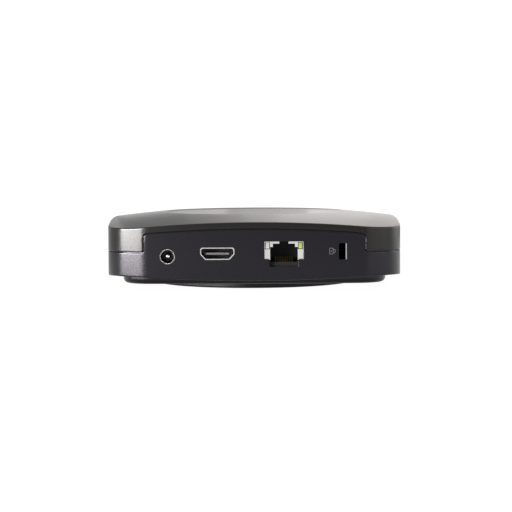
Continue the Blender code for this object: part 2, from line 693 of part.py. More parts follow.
def vent_cutter(corner, index, angle):
    """One round-ended slot across a diagonal, between the foot and the base's corner."""
    distance = FOOT_OUTER + VENT_PITCH * (index + 1)
    half = (VENT_FIRST_LENGTH - VENT_TAPER * index) / 2
    outline = rounded_box_outline(VENT_WIDTH / 2, half, VENT_WIDTH / 2.1, 2)
    slot = slab(f"vent_{corner}_{index}", outline, 0.0, FLOOR_TOP + FLOOR / 4)
    slot.rotation_euler = (0.0, 0.0, angle)
    slot.location.x = distance * math.cos(angle)
    slot.location.y = distance * math.sin(angle)
    return slot


def make_foot_and_label():
    top = LEDGE_BOTTOM + FOOT_GROOVE - GAP
    soft = FOOT_EDGE * (1 - math.sqrt(0.5))
    ring = turned("foot_ring", [
        (FOOT_OUTER, top), (FOOT_OUTER, FOOT_EDGE), (FOOT_OUTER - soft, soft),
        (FOOT_OUTER - FOOT_EDGE, 0.0), (FOOT_INNER + FOOT_EDGE, 0.0),
        (FOOT_INNER + soft, soft), (FOOT_INNER, FOOT_EDGE), (FOOT_INNER, top)],
        closed=True)
    finished(ring, "foot_ring", RUBBER, 40)
    label_top = LEDGE_BOTTOM + LABEL_RECESS - GAP
    outline = rounded_box_outline(LABEL_SIZE.x / 2, LABEL_SIZE.y / 2, 2 * MM)
    outline = [(x + LABEL_PLACE.x, y + LABEL_PLACE.y) for x, y in outline]
    label = slab("rating_label", outline, label_top - LABEL_THICKNESS, label_top)
    finished(label, "rating_label", PAPER)


def screw(name, place, head_low, head_height, head, shank_end, material=STEEL):
    """A pan-head screw along Z; its shank runs from the head towards shank_end."""
    x, y = place
    head_far = head_low + head_height
    thing = rod(name, (x, y, head_low), (x, y, head_far), head)
    inner = (head_low + head_far) / 2
    shank = rod(f"{name}_shank", (x, y, inner), (x, y, shank_end), SCREW_SHANK, 12)
    outer = head_low if shank_end > inner else head_far
    cross = [box(f"{name}_cross_{i}", Vector((x, y, outer)) - reach, Vector((x, y, outer)) + reach)
             for i, reach in enumerate((Vector((head * 0.55, 0.25 * MM, head_height / 2)),
                                        Vector((0.25 * MM, head * 0.55, head_height / 2))))]
    join(thing, shank)
    cut(thing, *cross)
    return finished(thing, name, material, 30)


def make_case_screws():
    head_low = LEDGE_BOTTOM + FOOT_GROOVE + SCREW_HEAD_RECESS
    for i, place in enumerate(CASE_SCREW_PLACES, 1):
        tip = head_low + SCREW_HEAD_HEIGHT + SCREW_REACH
        screw(f"case_screw_{i}", place, head_low, SCREW_HEAD_HEIGHT, SCREW_HEAD, tip)


# -------------------------------------------------------------------- board
def make_board():
    board = slab("main_board", case_outline(BOARD_INSET), BOARD_BOTTOM, BOARD_TOP)
    for i, (x, y) in enumerate(CASE_SCREW_PLACES + BOARD_SCREW_PLACES + SINK_SCREW_PLACES):
        cut(board, rod(f"board_hole_{i}", (x, y, 0.0), (x, y, BOARD_TOP + WALL),
                       SCREW_SHANK + GAP, 12))
    finished(board, "main_board", BOARD_GREEN)
    for i, place in enumerate(BOARD_SCREW_PLACES, 1):
        screw(f"board_screw_{i}", place, PART_SEAT, SCREW_HEAD_HEIGHT, SCREW_HEAD,
              FLOOR_TOP)


def make_chips():
    centre = (0.0, SINK_CENTRE_Y)
    processor = seated_box("processor", centre, PROCESSOR_SIZE, PART_SEAT)
    finished(processor, "processor", CHIP_BLACK)
    pad_seat = PART_SEAT + PROCESSOR_SIZE.z + GAP
    finished(seated_box("thermal_pad", centre, PAD_SIZE, pad_seat), "thermal_pad", PAD_BLUE)
    for i, side in enumerate((1, -1), 1):
        place = (MEMORY_X, SINK_CENTRE_Y + side * MEMORY_PITCH / 2)
        chip = seated_box(f"memory_chip_{i}", place, MEMORY_SIZE, PART_SEAT)
        finished(chip, f"memory_chip_{i}", CHIP_BLACK)
    flash = seated_box("flash_chip", FLASH_PLACE, FLASH_SIZE, PART_SEAT)
    finished(flash, "flash_chip", CHIP_BLACK)
    crystal = seated_box("crystal", CRYSTAL_PLACE, CRYSTAL_SIZE, PART_SEAT)
    finished(crystal, "crystal", TIN)


def make_heat_sink():
    low = PART_SEAT + PROCESSOR_SIZE.z + PAD_SIZE.z + 2 * GAP
    high = low + SINK_BASE
    half = SINK_SIZE / 2
    sink = box("heat_sink", (-half, SINK_CENTRE_Y - half, low), (half, SINK_CENTRE_Y + half, high))
    for i in range(FIN_COUNT):
        x = (i - (FIN_COUNT - 1) / 2) * FIN_PITCH
        join(sink, box(f"fin_{i}", (x - FIN_THICKNESS / 2, SINK_CENTRE_Y - half + GAP, high - SINK_BASE / 2),
                       (x + FIN_THICKNESS / 2, SINK_CENTRE_Y + half - GAP, high + FIN_HEIGHT)))
    ear = STANDOFF_RADIUS + GAP
    join(sink, box("sink_ears", (-SINK_EAR_REACH, SINK_CENTRE_Y - ear, low + GAP / 2),
                   (SINK_EAR_REACH, SINK_CENTRE_Y + ear, high - GAP / 2)))
    for i, (x, y) in enumerate(SINK_SCREW_PLACES, 1):
        join(sink, rod(f"sink_leg_{i}", (x, y, PART_SEAT), (x, y, low + SINK_BASE / 2),
                       STANDOFF_RADIUS))
        cut(sink, rod(f"sink_bore_{i}", (x, y, 0.0), (x, y, FAR), SCREW_SHANK + GAP))
        screw(f"heat_sink_screw_{i}", (x, y), high + GAP, SCREW_HEAD_HEIGHT,
              SCREW_HEAD * 0.85, BOARD_BOTTOM)
    return finished(sink, "heat_sink", ALUMINIUM)


def make_power_parts():
    """Two bulk capacitors and two storage inductors beside the power inlet."""
    edge = BOARD_HALF - POWER_PART_INSET
    pitch = 3 * CAPACITOR_RADIUS
    capacitor_y = DC_BACK - 2 * CAPACITOR_RADIUS
    for i in range(2):
        x, y = edge - i * pitch, capacitor_y
        can = rod(f"bulk_capacitor_{i + 1}", (x, y, PART_SEAT),
                  (x, y, PART_SEAT + CAPACITOR_HEIGHT), CAPACITOR_RADIUS, ROUND_STEPS)
        finished(can, f"bulk_capacitor_{i + 1}", SLEEVE_BLUE, 30)
    for i in range(2):
        y = capacitor_y - pitch - i * 1.6 * INDUCTOR_SIZE.y
        choke = seated_box(f"power_inductor_{i + 1}", (edge, y), INDUCTOR_SIZE, PART_SEAT)
        finished(choke, f"power_inductor_{i + 1}", CHIP_BLACK)


# -------------------------------------------------------------------- ports
def make_dc_jack():
    size = DC_BODY_SIZE
    low = (DC_X - size.x / 2, DC_BACK, PART_SEAT)
    body = box("dc_jack_body", low, (DC_X + size.x / 2, DC_FRONT, PART_SEAT + size.z))
    sleeve_back = DC_MOUTH - DC_SLEEVE_LENGTH
    bore = rod("dc_bore", (DC_X, DC_BORE_END, DC_Z), (DC_X, FAR, DC_Z), DC_BORE, ROUND_STEPS)
    seat = rod("dc_seat", (DC_X, sleeve_back - GAP, DC_Z), (DC_X, FAR, DC_Z),
               DC_SLEEVE_OUTER + GAP, ROUND_STEPS)
    pin_hole = rod("dc_pin_hole", (DC_X, 0.0, DC_Z), (DC_X, FAR, DC_Z), DC_PIN_RADIUS + GAP)
    slot_half = DC_SPRING_WIDTH / 2 + GAP
    slot = box("dc_spring_slot", (DC_X - slot_half, DC_BORE_END, PART_SEAT - WALL),
               (DC_X + slot_half, sleeve_back, DC_Z))
    cut(body, bore, seat, pin_hole, slot)
    finished(body, "dc_jack_body", JACK_BLACK, 30)

    wall_middle = DC_SLEEVE_OUTER - DC_SLEEVE_WALL / 2
    sleeve = turned("dc_jack_sleeve", [
        (DC_SLEEVE_OUTER, DC_SLEEVE_LENGTH), (DC_SLEEVE_OUTER, 0.0),
        (DC_SLEEVE_OUTER - DC_SLEEVE_WALL, 0.0),
        (DC_SLEEVE_OUTER - DC_SLEEVE_WALL, DC_SLEEVE_LENGTH - DC_SLEEVE_WALL),
        (wall_middle, DC_SLEEVE_LENGTH)], steps=24, closed=True)
    sleeve.rotation_euler = (-math.pi / 2, 0.0, 0.0)
    sleeve.location = (DC_X, sleeve_back, DC_Z)
    finished(sleeve, "dc_jack_sleeve", TIN, 30)

    tip = 1.2 * MM
    pin_end = DC_MOUTH - HDMI_TONGUE_RECESS
    pin = rod("dc_jack_pin", (DC_X, DC_BACK + GAP, DC_Z), (DC_X, pin_end - tip, DC_Z), DC_PIN_RADIUS)
    nose = rod("dc_pin_nose", (DC_X, pin_end - tip - GAP, DC_Z), (DC_X, pin_end, DC_Z),
               DC_PIN_RADIUS * 0.98, SMALL_STEPS, DC_PIN_RADIUS / 2)
    join(pin, nose)
    finished(pin, "dc_jack_pin", TIN, 30)
    make_dc_spring(sleeve_back)


def make_dc_spring(sleeve_back):
    """Leaf contact that the plug's barrel pushes outwards; it turns about its root."""
    root = (DC_BORE_END + 2 * GAP, DC_Z - DC_BORE - 2 * DC_SPRING_THICKNESS)
    end = sleeve_back - 2 * GAP
    crest = (root[0] + (end - root[0]) * 0.55, DC_Z - DC_BORE + DC_SPRING_BUMP)
    line = [root, (crest[0] - 2 * GAP, crest[1]), (crest[0] + 2 * GAP, crest[1]),
            (end, root[1])]
    lower = [(y, z - DC_SPRING_THICKNESS) for y, z in reversed(line)]
    half = DC_SPRING_WIDTH / 2
    leaf = slab("dc_jack_spring", line + lower, DC_X - half, DC_X + half, "YZ")
    on_pivot(leaf, (DC_X, root[0], root[1] - DC_SPRING_THICKNESS / 2))
    finished(leaf, "dc_jack_spring", GOLD)


def make_hdmi():
    shell = slab("hdmi_shell", hdmi_outline(0.0), HDMI_BACK, HDMI_MOUTH, "XZ")
    cut(shell, slab("hdmi_bore", hdmi_outline(-HDMI_SHELL), HDMI_BACK - WALL, FAR, "XZ"))
    finished(shell, "hdmi_shell", TIN)

    half = HDMI_WIDTH / 2 - GAP
    core_half = HDMI_FOOT_WIDTH / 2 - 2 * HDMI_SHELL
    core_low, core_high = HDMI_Z + 2 * HDMI_SHELL, HDMI_Z + HDMI_HEIGHT - 2 * HDMI_SHELL
    block_back = HDMI_BACK - GAP - 1.4 * MM
    base = box("hdmi_insulator", (HDMI_X - half, block_back, PART_SEAT),
               (HDMI_X + half, HDMI_MOUTH - WALL, HDMI_Z - GAP))
    back = box("hdmi_back", (HDMI_X - half, block_back, HDMI_Z - 2 * GAP),
               (HDMI_X + half, HDMI_BACK - GAP, HDMI_Z + HDMI_HEIGHT - GAP))
    core = box("hdmi_core", (HDMI_X - core_half, HDMI_BACK - 2 * GAP, core_low),
               (HDMI_X + core_half, HDMI_BACK + 2 * MM, core_high))
    tongue_mid = HDMI_Z + HDMI_HEIGHT / 2
    tongue_front = HDMI_MOUTH - HDMI_TONGUE_RECESS
    size = HDMI_TONGUE
    tongue = box("hdmi_tongue",
                 (HDMI_X - size.x / 2, tongue_front - size.y, tongue_mid - size.z / 2),
                 (HDMI_X + size.x / 2, tongue_front, tongue_mid + size.z / 2))
    join(base, back, core, tongue)
    finished(base, "hdmi_insulator", JACK_BLACK)


def make_lan_jack():
    half = LAN_BODY_SIZE.x / 2
    body = box("ethernet_body", (LAN_X - half, LAN_BACK, LAN_Z), (LAN_X + half, LAN_FRONT, LAN_TOP))
    cavity_end = LAN_FRONT - LAN_CAVITY_DEPTH
    mouth = slab("lan_cavity", lan_opening(full=LAN_TOP + WALL), cavity_end, FAR, "XZ")
    trough_half = (CONTACT_COUNT * CONTACT_PITCH) / 2 + 2 * GAP
    trough = box("lan_trough", (LAN_X - trough_half, cavity_end, LAN_Z + LAN_SILL / 3),
                 (LAN_X + trough_half, LAN_FRONT - 2 * GAP, LAN_FLOOR + GAP))
    cut(body, mouth, trough)
    lamp = LAN_LAMP_SIZE
    for side in (1, -1):
        centre = Vector((LAN_X + side * LAN_LAMP_X, LAN_FRONT, LAN_Z + LAN_LAMP_HEIGHT))
        reach = Vector((lamp.x / 2 + GAP, lamp.y + GAP, lamp.z / 2 + GAP))
        cut(body, box(f"lamp_pocket_{side}", centre - reach, centre + reach))
    finished(body, "ethernet_body", JACK_BLACK)

    outer = LAN_SHIELD_HALF
    top = LAN_TOP + GAP + LAN_SHIELD
    shield_back = LAN_BACK - GAP - LAN_SHIELD
    shield = box("ethernet_shield", (LAN_X - outer, shield_back, LAN_Z), (LAN_X + outer, LAN_FACE, top))
    inner = outer - LAN_SHIELD
    cut(shield, box("shield_hollow", (LAN_X - inner, shield_back + LAN_SHIELD, 0.0),
                    (LAN_X + inner, LAN_FACE - LAN_SHIELD, top - LAN_SHIELD)))
    cut(shield, slab("shield_mouth", lan_opening(low=0.0), 0.0, FAR, "XZ"))
    cut(shield, box("shield_sill", (LAN_X - inner, LAN_FRONT, 0.0),
                    (LAN_X + inner, FAR, LAN_Z + LAN_WINDOW_CORNER - GAP)))
    back_close = box("shield_back", (LAN_X - outer + GAP, shield_back, LAN_Z + GAP),
                     (LAN_X + outer - GAP, shield_back + LAN_SHIELD, top - GAP))
    join(shield, back_close)
    for side, name, material in ((1, "link", LAMP_CLEAR), (-1, "activity", LAMP_GREEN)):
        centre = Vector((LAN_X + side * LAN_LAMP_X, LAN_FACE, LAN_Z + LAN_LAMP_HEIGHT))
        reach = Vector((lamp.x / 2 + GAP, WALL, lamp.z / 2 + GAP))
        cut(shield, box(f"lamp_window_{side}", centre - reach, centre + reach))
        low = centre - Vector((lamp.x / 2, lamp.y, lamp.z / 2))
        finished(box(f"ethernet_{name}_lamp", low, low + lamp), f"ethernet_{name}_lamp", material)
    finished(shield, "ethernet_shield", TIN)
    make_contacts()
    transformer_size = Vector((LAN_BODY_SIZE.x, 10 * MM, 6 * MM))
    place = (LAN_X, shield_back - transformer_size.y)
    transformer = seated_box("lan_transformer", place, transformer_size, PART_SEAT)
    finished(transformer, "lan_transformer", CHIP_BLACK)


def make_contacts():
    """Eight sprung wires on one root bar, sloping up into the jack's mouth."""
    root = Vector((LAN_X, LAN_FRONT - 4 * GAP, LAN_FLOOR - 2 * GAP))
    bar_half = Vector(((CONTACT_COUNT * CONTACT_PITCH) / 2, 0.4 * MM, 0.35 * MM))
    comb = box("ethernet_contacts", root - bar_half, root + bar_half)
    rise, run = CONTACT_RISE + 2 * GAP, CONTACT_RUN
    for i in range(CONTACT_COUNT):
        x = LAN_X + (i - (CONTACT_COUNT - 1) / 2) * CONTACT_PITCH
        line = [(root.y, root.z), (root.y - run * 0.75, root.z + rise),
                (root.y - run, root.z + rise * 0.9)]
        lower = [(y, z - CONTACT_THICKNESS) for y, z in reversed(line)]
        join(comb, slab(f"contact_{i}", line + lower, x - CONTACT_WIDTH / 2,
                        x + CONTACT_WIDTH / 2, "YZ"))
    finished(comb, "ethernet_contacts", GOLD)


def make_lock_plate():
    """Steel angle behind the security slot; its foot is riveted to the board."""
    size = LOCK_PLATE_SIZE
    plate = box("lock_plate", (LOCK_X - size.x / 2, LOCK_FACE - size.y, PART_SEAT),
                (LOCK_X + size.x / 2, LOCK_FACE, PART_SEAT + size.z))
    foot = box("lock_foot", (LOCK_X - size.x / 2 + GAP, LOCK_FACE - LOCK_FOOT_DEPTH, PART_SEAT),
               (LOCK_X + size.x / 2 - GAP, LOCK_FACE - size.y / 2, PART_SEAT + size.y))
    join(plate, foot)
    cut(plate, box("plate_slot",
                   (LOCK_X - LOCK_SLOT.x / 2 - GAP, LOCK_FACE - FAR, LOCK_HEIGHT - LOCK_SLOT.y / 2 - GAP),
                   (LOCK_X + LOCK_SLOT.x / 2 + GAP, FAR, LOCK_HEIGHT + LOCK_SLOT.y / 2 + GAP)))
    finished(plate, "lock_plate", STEEL)


# ------------------------------------------------- front window, radio, reset
def make_front_parts():
    """Smoked window in the front wall, with the receiver and status lamp behind it."""
    lens = rounded_box_outline(WINDOW_HALF_WIDTH - GAP, WINDOW_HALF_HEIGHT - GAP, WINDOW_CORNER - GAP)
    lens = [(x, z + WINDOW_HEIGHT) for x, z in lens]
    back = FRONT_INNER + GAP + WINDOW_FLANGE
    window = slab("front_window", lens, FRONT_OUTER, back, "XZ")
    flange = rounded_box_outline(WINDOW_HALF_WIDTH + WINDOW_FLANGE, WINDOW_HALF_HEIGHT + WINDOW_FLANGE,
                                 WINDOW_CORNER)
    flange = [(x, z + WINDOW_HEIGHT) for x, z in flange]
    join(window, slab("window_flange", flange, FRONT_INNER + GAP, back - GAP, "XZ"))
    finished(window, "front_window", SMOKED)

    behind = -BOARD_HALF + GAP
    receiver = seated_box("ir_receiver", (RECEIVER_X, behind + RECEIVER_SIZE.y / 2 + 2 * GAP),
                          RECEIVER_SIZE, PART_SEAT)
    finished(receiver, "ir_receiver", CHIP_BLACK)
    lamp_y = behind + LIGHT_PIPE_SIZE.y / 2
    lamp = seated_box("status_led", (LAMP_X, lamp_y), LAMP_SIZE, PART_SEAT)
    finished(lamp, "status_led", LAMP_CLEAR)
    pipe_seat = PART_SEAT + LAMP_SIZE.z + GAP
    pipe = seated_box("status_light_pipe", (LAMP_X, back + GAP + LIGHT_PIPE_SIZE.y / 2),
                      LIGHT_PIPE_SIZE, pipe_seat)
    finished(pipe, "status_light_pipe", LAMP_CLEAR)


def make_radio():
    shield = seated_box("wifi_shield", WIFI_SHIELD_PLACE, WIFI_SHIELD_SIZE, PART_SEAT)
    finished(shield, "wifi_shield", TIN)
    wall = side_distance(abs(ANTENNA_Y) + ANTENNA_SIZE.y / 2, WALL) - 2 * GAP
    for side, name in ((-1, "left"), (1, "right")):
        x = side * (wall - ANTENNA_SIZE.x / 2)
        strip = seated_box(f"antenna_{name}", (x, ANTENNA_Y), ANTENNA_SIZE,
                           ANTENNA_HEIGHT - ANTENNA_SIZE.z / 2)
        finished(strip, f"antenna_{name}", BOARD_GREEN)
    feed = wall - ANTENNA_SIZE.x - LEAD_RADIUS - GAP
    low = PART_SEAT + LEAD_RADIUS + GAP
    sx, sy = WIFI_SHIELD_PLACE
    edge_y = sy + WIFI_SHIELD_SIZE.y / 2 + LEAD_RADIUS + GAP
    edge_x = sx + WIFI_SHIELD_SIZE.x / 2 + LEAD_RADIUS + GAP
    lead("antenna_lead_left", [
        (sx - 4 * MM, edge_y, low), (sx - 8 * MM, edge_y + 1 * MM, low),
        (-feed + 6 * MM, edge_y + 4 * MM, low), (-feed + 2 * MM, ANTENNA_Y - 2 * MM, low + 1 * MM),
        (-feed, ANTENNA_Y + 3 * MM, ANTENNA_HEIGHT)])
    lead("antenna_lead_right", [
        (edge_x, sy + 4 * MM, low), (edge_x + 6 * MM, sy + 1 * MM, low), (-6 * MM, sy + 2 * MM, low),
        (20 * MM, sy, low), (feed - 18 * MM, sy + 2 * MM, low), (feed - 6 * MM, sy + 9 * MM, low),
        (feed - 1 * MM, ANTENNA_Y - 4 * MM, low + 1 * MM), (feed, ANTENNA_Y + 3 * MM, ANTENNA_HEIGHT)])


def lead(name, route, spacing=4):
    """A thin coaxial lead along a smooth curve through the route's points."""
    points = []
    ends = [route[0]] + route + [route[-1]]
    for a, b, c, d in zip(ends, ends[1:], ends[2:], ends[3:]):
        a, b, c, d = map(Vector, (a, b, c, d))
        for i in range(spacing):
            t = i / spacing
            points.append(0.5 * (2 * b + (c - a) * t + (2 * a - 5 * b + 4 * c - d) * t**2
                                 + (3 * b - a - 3 * c + d) * t**3))
    points.append(Vector(route[-1]))
    data = bpy.data.curves.new(name, "CURVE")
    data.dimensions = "3D"
    data.bevel_depth = LEAD_RADIUS
    data.bevel_resolution = 2
    data.use_fill_caps = True
    spline = data.splines.new("POLY")
    spline.points.add(len(points) - 1)
    for point, place in zip(spline.points, points):
        point.co = (*place, 1.0)
    finished(helper(name, data), name, JACK_BLACK)


def make_reset():
    """Recessed button in the base, and the tactile switch above it, under the board."""
    x, y = RESET_PLACE
    body_high = BOARD_BOTTOM - GAP
    body_low = body_high - SWITCH_SIZE.z
    body = box("reset_switch_body", (x - SWITCH_SIZE.x / 2, y - SWITCH_SIZE.y / 2, body_low),
               (x + SWITCH_SIZE.x / 2, y + SWITCH_SIZE.y / 2, body_high))
    well_top = body_high - GAP
    cut(body, rod("plunger_well", (x, y, 0.0), (x, y, well_top), SWITCH_PLUNGER + GAP))
    finished(body, "reset_switch_body", CHIP_BLACK)
    plunger_low = body_low - 1.6 * GAP
    plunger = rod("reset_switch_plunger", (x, y, plunger_low),
                  (x, y, well_top - RESET_TRAVEL - GAP / 3), SWITCH_PLUNGER)
    finished(plunger, "reset_switch_plunger", CASE_GREY, 30)
    stem_top = plunger_low - GAP
    flange_low = FLOOR_TOP + GAP
    cap = rod("reset_button", (x, y, LEDGE_BOTTOM + GAP), (x, y, flange_low + GAP), RESET_CAP,
              ROUND_STEPS)
    flange = rod("reset_flange", (x, y, flange_low), (x, y, (flange_low + stem_top) / 2 + GAP / 2),
                 RESET_FLANGE, ROUND_STEPS)
    stem = rod("reset_stem", (x, y, flange_low + GAP / 2), (x, y, stem_top), SWITCH_PLUNGER)
    join(cap, flange, stem)
    finished(cap, "reset_button", RUBBER, 30)


make_top_cover()
make_bottom_housing()
make_foot_and_label()
make_case_screws()
make_board()
make_chips()
make_heat_sink()
make_power_parts()
make_dc_jack()
make_hdmi()
make_lan_jack()
make_lock_plate()
make_front_parts()
make_radio()
make_reset()
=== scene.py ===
import math

import bmesh
import bpy
from mathutils import Matrix, Quaternion, Vector


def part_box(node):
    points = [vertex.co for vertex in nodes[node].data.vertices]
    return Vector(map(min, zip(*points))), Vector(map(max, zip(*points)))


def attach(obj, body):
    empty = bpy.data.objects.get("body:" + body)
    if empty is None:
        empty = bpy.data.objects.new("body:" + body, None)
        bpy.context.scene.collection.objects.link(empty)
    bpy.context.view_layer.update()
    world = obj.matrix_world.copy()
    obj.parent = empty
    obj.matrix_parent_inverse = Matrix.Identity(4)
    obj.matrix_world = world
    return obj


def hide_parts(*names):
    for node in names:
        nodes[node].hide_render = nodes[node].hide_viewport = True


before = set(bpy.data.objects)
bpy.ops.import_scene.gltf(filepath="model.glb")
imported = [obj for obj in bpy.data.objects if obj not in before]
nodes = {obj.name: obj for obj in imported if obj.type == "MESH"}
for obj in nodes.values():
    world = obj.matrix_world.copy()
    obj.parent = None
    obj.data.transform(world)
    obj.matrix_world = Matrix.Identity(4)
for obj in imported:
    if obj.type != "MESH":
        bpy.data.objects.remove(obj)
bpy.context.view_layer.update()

MM = 0.001

# The case. Its outline is the CAD part's. The roof, its dish and the step under the housing stay
# within 0.4 mm of it, and the dish has a softer lip.
HALF_WIDTH = 65.0 * MM
BOW = 700.0 * MM                # radius of the shallow arc along each side
CORNER = 19.5 * MM
APEX_HEIGHT = 33.9 * MM
DOME_FALL = 4.3 * MM
DISH_RADIUS = 42.0 * MM
DISH_DEPTH = 0.38 * MM
DISH_LIP = 2.4 * MM
BELLY_HEIGHT = 1.8 * MM
BELLY_RISE = 2.95 * MM
LEDGE_INSET = 6.5 * MM
LEDGE_BOTTOM = 2.8 * MM
LEDGE_EDGE = 2.3 * MM
WALL = 2.4 * MM
LIP_WALL = 1.2 * MM
SEAM = 16.8 * MM
SEAM_GAP = 0.36 * MM
TAB_REACH = 3.0 * MM            # the rear tab runs this far past the corners' centres
TAB_DROP = 3.0 * MM
TAB_FILLET = 1.4 * MM
TOP_EDGE = 0.55 * MM             # edge of the top along the rear
TOP_EDGE_SIDES = 1.9 * MM        # and round the other three sides
SEAM_EDGE = 0.28 * MM
FOOT_OUTER = 45.0 * MM
FOOT_INNER = 36.0 * MM

# Worked-out sizes.
SIDE_REACH = BOW - HALF_WIDTH
SPAN = BOW - CORNER
CENTRE = (math.sqrt(2 * SPAN**2 - SIDE_REACH**2) - SIDE_REACH) / 2
SIDE_TURN = math.atan2(CENTRE, CENTRE + SIDE_REACH)
CORNER_TURN = math.pi / 2 - 2 * SIDE_TURN
SIDE_LENGTH = 2 * SIDE_TURN * BOW
CORNER_LENGTH = CORNER_TURN * CORNER
QUARTER = SIDE_LENGTH + CORNER_LENGTH
TAB_HALF = CENTRE + TAB_REACH


def dome_height(radius):
    return APEX_HEIGHT - DOME_FALL * (radius / HALF_WIDTH) ** 2


def belly_height(radius):
    return BELLY_HEIGHT + BELLY_RISE * (radius / HALF_WIDTH) ** 2


def plan_point(s, inset=0.0):
    """Point on the case's outline, s metres round it from the middle of the rear side."""
    s = s + SIDE_LENGTH / 2
    quarter = math.floor(s / QUARTER)
    s -= quarter * QUARTER
    facing = math.pi / 2 + quarter * math.pi / 2
    if s <= SIDE_LENGTH:
        angle = facing - SIDE_TURN + s / BOW
        return Vector(((BOW - inset) * math.cos(angle) - SIDE_REACH * math.cos(facing),
                       (BOW - inset) * math.sin(angle) - SIDE_REACH * math.sin(facing)))
    diagonal = facing + math.pi / 4
    angle = facing + SIDE_TURN + (s - SIDE_LENGTH) / CORNER
    reach = CENTRE * math.sqrt(2)
    return Vector((reach * math.cos(diagonal) + (CORNER - inset) * math.cos(angle),
                   reach * math.sin(diagonal) + (CORNER - inset) * math.sin(angle)))


def side_place(x):
    """Distance round the outline from the rear's middle to the tab's side."""
    low, high = 0.0, QUARTER
    for _ in range(50):
        middle = (low + high) / 2
        low, high = (middle, high) if abs(plan_point(middle).x) < x else (low, middle)
    return low


TAB_SIDE = side_place(TAB_HALF)
HALF_ROUND = 2 * QUARTER        # half the way round the outline


# ------------------------------------------------------------ shell borders
def tab_top(s, grow):
    return dome_height(plan_point(s).length) - TAB_DROP + grow


def half_border(grow):
    """Samples of the -X half of the border, from the rear's middle to the front's.

    Each is the place round the outline, the height, and the place on the plain outline.
    """
    side, seam = TAB_SIDE + grow, SEAM - SEAM_GAP / 2 + grow
    outer, inner = TAB_FILLET + grow, TAB_FILLET - grow
    samples = []
    strip_end = side - outer
    strip_steps = 34
    for i in range(strip_steps):
        s = strip_end * i / strip_steps
        samples.append((s, tab_top(s, grow), s))
    top = tab_top(TAB_SIDE, grow)
    # Many samples share one place down the tab's side, so their plain places are spread apart.
    squeeze, lead = 0.75, 0.35 * MM
    arc_steps = 9
    for i in range(arc_steps + 1):
        turn = math.pi / 2 * i / arc_steps
        s = side - outer + outer * math.sin(turn)
        base = side + squeeze * (s - side) - lead
        samples.append((s, top - outer + outer * math.cos(turn), base))
    fall = (top - outer) - (seam + inner)
    fall_steps = 7
    for i in range(1, fall_steps):
        share = i / fall_steps
        samples.append((side, top - outer - fall * share, side - lead + 2 * lead * share))
    for i in range(arc_steps + 1):
        turn = math.pi / 2 * i / arc_steps
        s = side + inner - inner * math.cos(turn)
        base = side + squeeze * (s - side) + lead
        samples.append((s, seam + inner - inner * math.sin(turn), base))
    s = samples[-1][0]
    while s < HALF_ROUND - 0.5 * MM:
        along = (s + SIDE_LENGTH / 2) % QUARTER
        s += 0.9 * MM if along > SIDE_LENGTH - 1.5 * MM else 2.2 * MM
        if s < HALF_ROUND - 0.5 * MM:
            samples.append((s, seam, s))
    samples.append((HALF_ROUND, seam, HALF_ROUND))
    return samples


def border(grow):
    """The whole border of a shell, as (s, z, outward normal in that plane, plain s)."""
    half = half_border(grow)
    whole = [(-s, z, -base) for s, z, base in reversed(half[1:-1])] + half
    samples = []
    for i, (s, z, base) in enumerate(whole):
        before, after = whole[i - 1], whole[(i + 1) % len(whole)]
        run, rise = after[0] - before[0], after[1] - before[1]
        if abs(run) > HALF_ROUND:       # across the front's middle, where s starts again
            run, rise = 1.0, 0.0
        length = math.hypot(run, rise)
        samples.append((s, z, (-rise / length, run / length), base))
    return samples


def loft(name, rings):
    """A closed solid through rings of points, with a single point for its first and last ring."""
    def fill(bm):
        made = [[bm.verts.new(p) for p in ring] for ring in rings]
        for one, two in zip(made, made[1:]):
            count = max(len(one), len(two))
            for i in range(count):
                j = (i + 1) % count
                corners = (one[i % len(one)], one[j % len(one)],
                           two[j % len(two)], two[i % len(two)])
                bm.faces.new(list(dict.fromkeys(corners)))
    return add_piece(name, mesh_from(name, fill))


def spot(s, inset, z):
    return (*plan_point(s, inset), z)


def plain_ring(samples, inset, height):
    """A ring at one inset; height is a number or a function of the distance from the centre."""
    ring = []
    for *_, base in samples:
        flat = plan_point(base, inset)
        ring.append((*flat, height(flat.length) if callable(height) else height))
    return ring


def circle_ring(samples, radius, z):
    ring = []
    for *_, base in samples:
        flat = plan_point(base).normalized() * radius
        ring.append((*flat, z))
    return ring


def edge_ring(samples, shift, inset):
    """The border moved by shift along its outward normal, at one inset."""
    return [spot(s + n[0] * shift, inset, z + n[1] * shift) for s, z, n, _ in samples]


def seam_rounding(samples, sign, radius):
    """Rings round a seam edge, from the wall's face to the gap's face."""
    rings = []
    steps = 4
    for i in range(steps + 1):
        turn = math.pi / 2 * i / steps
        rings.append(edge_ring(samples, sign * radius * (1 - math.sin(turn)),
                               radius * (1 - math.cos(turn))))
    return rings


def top_edge(base):
    """Rounding of the top's edge at a place round the outline."""
    fade = 14 * MM
    share = min(max((abs(base) - SIDE_LENGTH / 2 - CORNER_LENGTH) / fade, 0.0), 1.0)
    return TOP_EDGE + (TOP_EDGE_SIDES - TOP_EDGE) * share * share * (3 - 2 * share)


